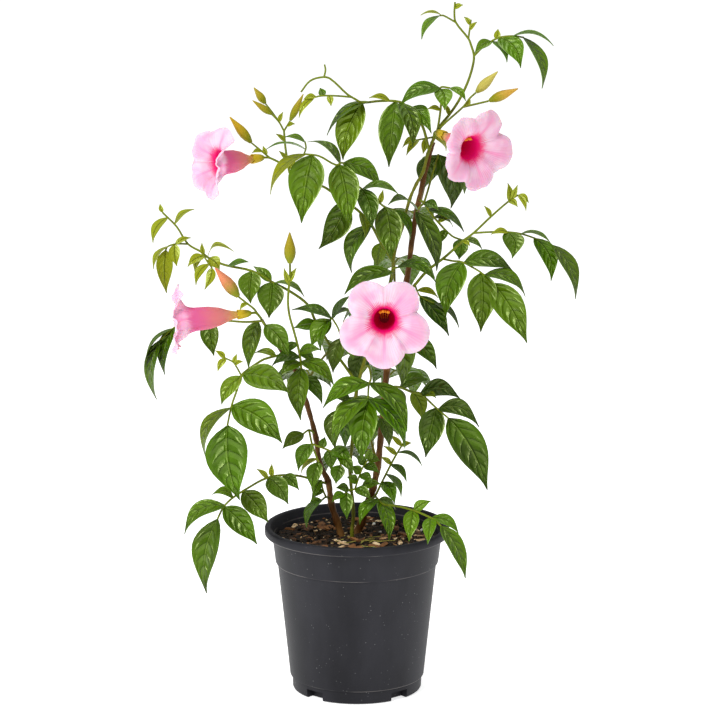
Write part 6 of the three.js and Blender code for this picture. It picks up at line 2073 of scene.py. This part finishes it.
@dataclass
class PottingSoil:
    """The soil's uneven surface with bark chips, wood splinters, perlite and rootlets."""

    bench: Bench
    radius: float = 67.2
    level: float = 128.0
    depth: float = 9.0
    sides: int = 120
    rings: int = 16
    dome: float = 1.2
    swell: float = 1.5
    grit: float = 0.7
    # The bits' distance from the wall (mm), their sharp angle (degrees) and shares of their size.
    margin: float = 3.5
    bit_sharp: float = 30.0
    bit_bevel: float = 0.16
    bit_bulge: float = 0.12
    # The rootlets' number, radii, rise over the soil and least step, mm.
    rootlets: int = 9
    rootlet_radii: Band = (0.45, 0.3)
    rootlet_rise: float = 0.9
    rootlet_step: float = 3.5

    def height(self, x: float, y: float) -> float:
        """Find the soil's height at a place.

        Args:
            x: The place, mm.
            y: The place, mm.

        Returns:
            The height, mm.
        """
        rough = noise.fractal(Vector((x * 0.09, y * 0.09, 3.1)), 1.0, 2.0, 4)
        fine = noise.noise(Vector((x * 0.5, y * 0.5, 9.0)))
        dome = self.dome * (1 - math.hypot(x, y) / self.radius)
        return self.level + dome + self.swell * rough + self.grit * fine

    def build_bed(self) -> None:
        """Build the soil's body: a round block whose upper side is inset into rings and roughened."""
        bed = Workshop.primitive(
            bpy.ops.mesh.primitive_cylinder_add, vertices=self.sides, radius=self.radius * MM,
            depth=self.depth * MM, location=(0, 0, (self.level - self.depth / 2) * MM),
        )
        bpy.ops.object.transform_apply(location=True, rotation=True, scale=True)
        bpy.ops.object.mode_set(mode="EDIT")
        bpy.ops.mesh.select_mode(type="FACE")
        bpy.ops.mesh.select_all(action="DESELECT")
        bpy.ops.object.mode_set(mode="OBJECT")
        for face in bed.data.polygons:
            face.select = face.normal.z > 0.9
        bpy.ops.object.mode_set(mode="EDIT")
        for _ in range(self.rings):
            bpy.ops.mesh.inset(thickness=self.radius / (self.rings + 1.0) * MM, depth=0)
        bpy.ops.object.mode_set(mode="OBJECT")
        for vertex in bed.data.vertices:
            x, y, z = vertex.co / MM
            if z > self.level - 1:
                vertex.co.z = self.height(x, y) * MM
        piece = joined("soil_bed", [bed], 180)
        piece.data.materials.append(self.bench.palette.soil)
        settle(piece, "soil", "soil")

    def scatter(self, bits: Bits, finish: Material) -> None:
        """Scatter bits of one kind over the soil as one piece.

        Args:
            bits: Their plan.
            finish: Their material.
        """
        bit = Workshop.primitive(bpy.ops.mesh.primitive_cube_add, size=1)
        bpy.ops.object.mode_set(mode="EDIT")
        bpy.ops.mesh.select_all(action="SELECT")
        bpy.ops.mesh.bevel(offset=self.bit_bevel, segments=1, affect="EDGES")
        bpy.ops.object.mode_set(mode="OBJECT")
        mould = Mould("bit", bit)
        least, greatest = bits.sizes
        parts = []
        for index in range(bits.count):
            pick = [chance(bits.seed + index * 7.31 + step * 1.7) for step in range(8)]
            far = (self.radius - self.margin) * math.sqrt(pick[0])
            angle = pick[1] * 2 * math.pi
            size = least + (greatest - least) * pick[2] ** 2
            centre = Vector((far * math.cos(angle), far * math.sin(angle), 0))
            centre.z = self.height(centre.x, centre.y) + size * bits.stretch[2] * 0.2
            tilt = Matrix.Rotation(pick[3] * TURN, 3, "Z") @ Matrix.Rotation((pick[4] - 0.5) * 0.9, 3, "X")
            shape = np.array(mould.points * np.array(bits.stretch) * size)
            shape += self.bit_bulge * size * np.sin(mould.points[:, [1, 2, 0]] * 5 + index)
            moved = shape @ np.array(tilt.transposed()) + np.array(centre)
            parts.append(mould.copy(moved, mould.points, (0, pick[5], 0), [finish]))
        settle(joined(bits.name, parts, self.bit_sharp), "soil")

    def build_rootlets(self) -> None:
        """Lay thin pale rootlets and stalks over the soil near the stems."""
        parts = []
        for index in range(self.rootlets):
            pick = [chance(index * 3.7 + step * 1.3 + 50) for step in range(4)]
            start = Vector((-18 + 36 * pick[0], -40 + 50 * pick[1], 0))
            stride = self.rootlet_step + 4 * pick[3]
            heading = pick[2] * TURN
            course = []
            for step in range(4):
                here = start + Vector((math.cos(heading), math.sin(heading), 0)) * (step * stride)
                heading += 0.5 * (chance(index + step * 9.1) - 0.5)
                here.z = self.height(here.x, here.y) + self.rootlet_rise
                course.append(here)
            parts.append(self.bench.stem(course, *self.rootlet_radii, 1.0, 3))
        for part in parts:
            part.data.materials[0] = self.bench.palette.rootlet
        settle(joined("rootlets", parts), "soil")

    def build(self) -> None:
        """Build the bed and all that lies on it."""
        palette = self.bench.palette
        self.build_bed()
        self.scatter(Bits("bark_chips", 170, (1.4, 5.8), (1.7, 0.95, 0.5), 11.0), palette.bark)
        self.scatter(Bits("wood_chips", 110, (1.0, 5.4), (2.1, 0.6, 0.35), 271.0), palette.wood)
        self.scatter(Bits("soil_crumbs", 240, (1.0, 3.6), (1.1, 1.0, 0.9), 631.0), palette.soil)
        self.scatter(Bits("perlite", 14, (1.2, 2.8), (1.0, 0.9, 0.85), 911.0), palette.perlite)
        self.build_rootlets()


@dataclass(frozen=True)
class Lamp:
    """A square lamp: its place and its side (m) and its power (W)."""

    name: str
    place: Place
    size: float
    power: float


@dataclass
class Studio:
    """White ground, soft light and the camera of the picture; its sizes are in metres."""

    sight: Sight = SIGHT
    sensor_mm: float = 36.0
    view_end: float = 50.0
    floor_size: float = 30.0
    floor_drop: float = 0.0005
    sky_strength: float = 0.42
    aim: Place = (0.0, 0.0, 0.3)
    lamps: tuple[Lamp, ...] = (
        Lamp("key", (-1.1, -1.7, 2.2), 0.8, 49.0),
        Lamp("side", (-2.1, -1.0, 0.35), 0.5, 9.0),
        Lamp("fill", (1.8, -1.6, 1.4), 1.6, 6.0),
        Lamp("top", (0.0, 0.3, 2.4), 1.2, 18.0),
    )

    def build_camera(self) -> None:
        """Set up the camera in the picture's view."""
        camera = bpy.data.cameras.new("camera")
        camera.sensor_width = self.sensor_mm
        camera.lens = self.sensor_mm * self.sight.focal / (2 * self.sight.centre)
        camera.clip_end = self.view_end
        holder = bpy.data.objects.new("camera", camera)
        holder.location = Vector(self.sight.eye) * MM
        holder.rotation_euler = (math.pi / 2 - self.sight.pitch, 0, 0)
        bpy.context.scene.collection.objects.link(holder)
        bpy.context.scene.camera = holder

    def build_floor(self) -> None:
        """Lay the ground just below the pot's foot."""
        floor = Workshop.primitive(
            bpy.ops.mesh.primitive_plane_add, size=self.floor_size, location=(0, 0, -self.floor_drop),
        )
        floor.name = "floor"
        floor.data.materials.append(FloorFinish().make())

    def build_sky(self) -> None:
        """Light everything evenly from a white sky."""
        sky = bpy.context.scene.world or bpy.data.worlds.new("sky")
        bpy.context.scene.world = sky
        sky.use_nodes = True
        ground = sky.node_tree.nodes["Background"]
        ground.inputs["Color"].default_value = (1.0, 1.0, 1.0, 1.0)
        ground.inputs["Strength"].default_value = self.sky_strength
        bpy.context.scene.view_settings.view_transform = "Standard"

    def build_lamps(self) -> None:
        """Hang the lamps, each turned to the plant."""
        for plan in self.lamps:
            light = bpy.data.lights.new(plan.name, "AREA")
            light.size = plan.size
            light.energy = plan.power
            lamp = bpy.data.objects.new(plan.name, light)
            lamp.location = plan.place
            way = Vector(self.aim) - Vector(plan.place)
            lamp.rotation_euler = way.to_track_quat("-Z", "Y").to_euler()
            bpy.context.scene.collection.objects.link(lamp)

    def build(self) -> None:
        """Set up the camera, floor, sky and lamps."""
        self.build_camera()
        self.build_floor()
        self.build_sky()
        self.build_lamps()


def main() -> None:
    """Build the studio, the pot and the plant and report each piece."""
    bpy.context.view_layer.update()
    Studio().build()
    workshop = Workshop()
    palette = Palette.make()
    bench = Bench(workshop, palette)
    for assembly in (
        NurseryPot(palette),
        PottingSoil(bench),
        Canes(CANES, bench),
        Foliage(SPRAYS, BACK_SHOOTS, CANES, bench),
        Blooms(FLOWERS, bench),
    ):
        LOG.info("Building %s", type(assembly).__name__)
        assembly.build()


if __name__ == "__main__":
    main()
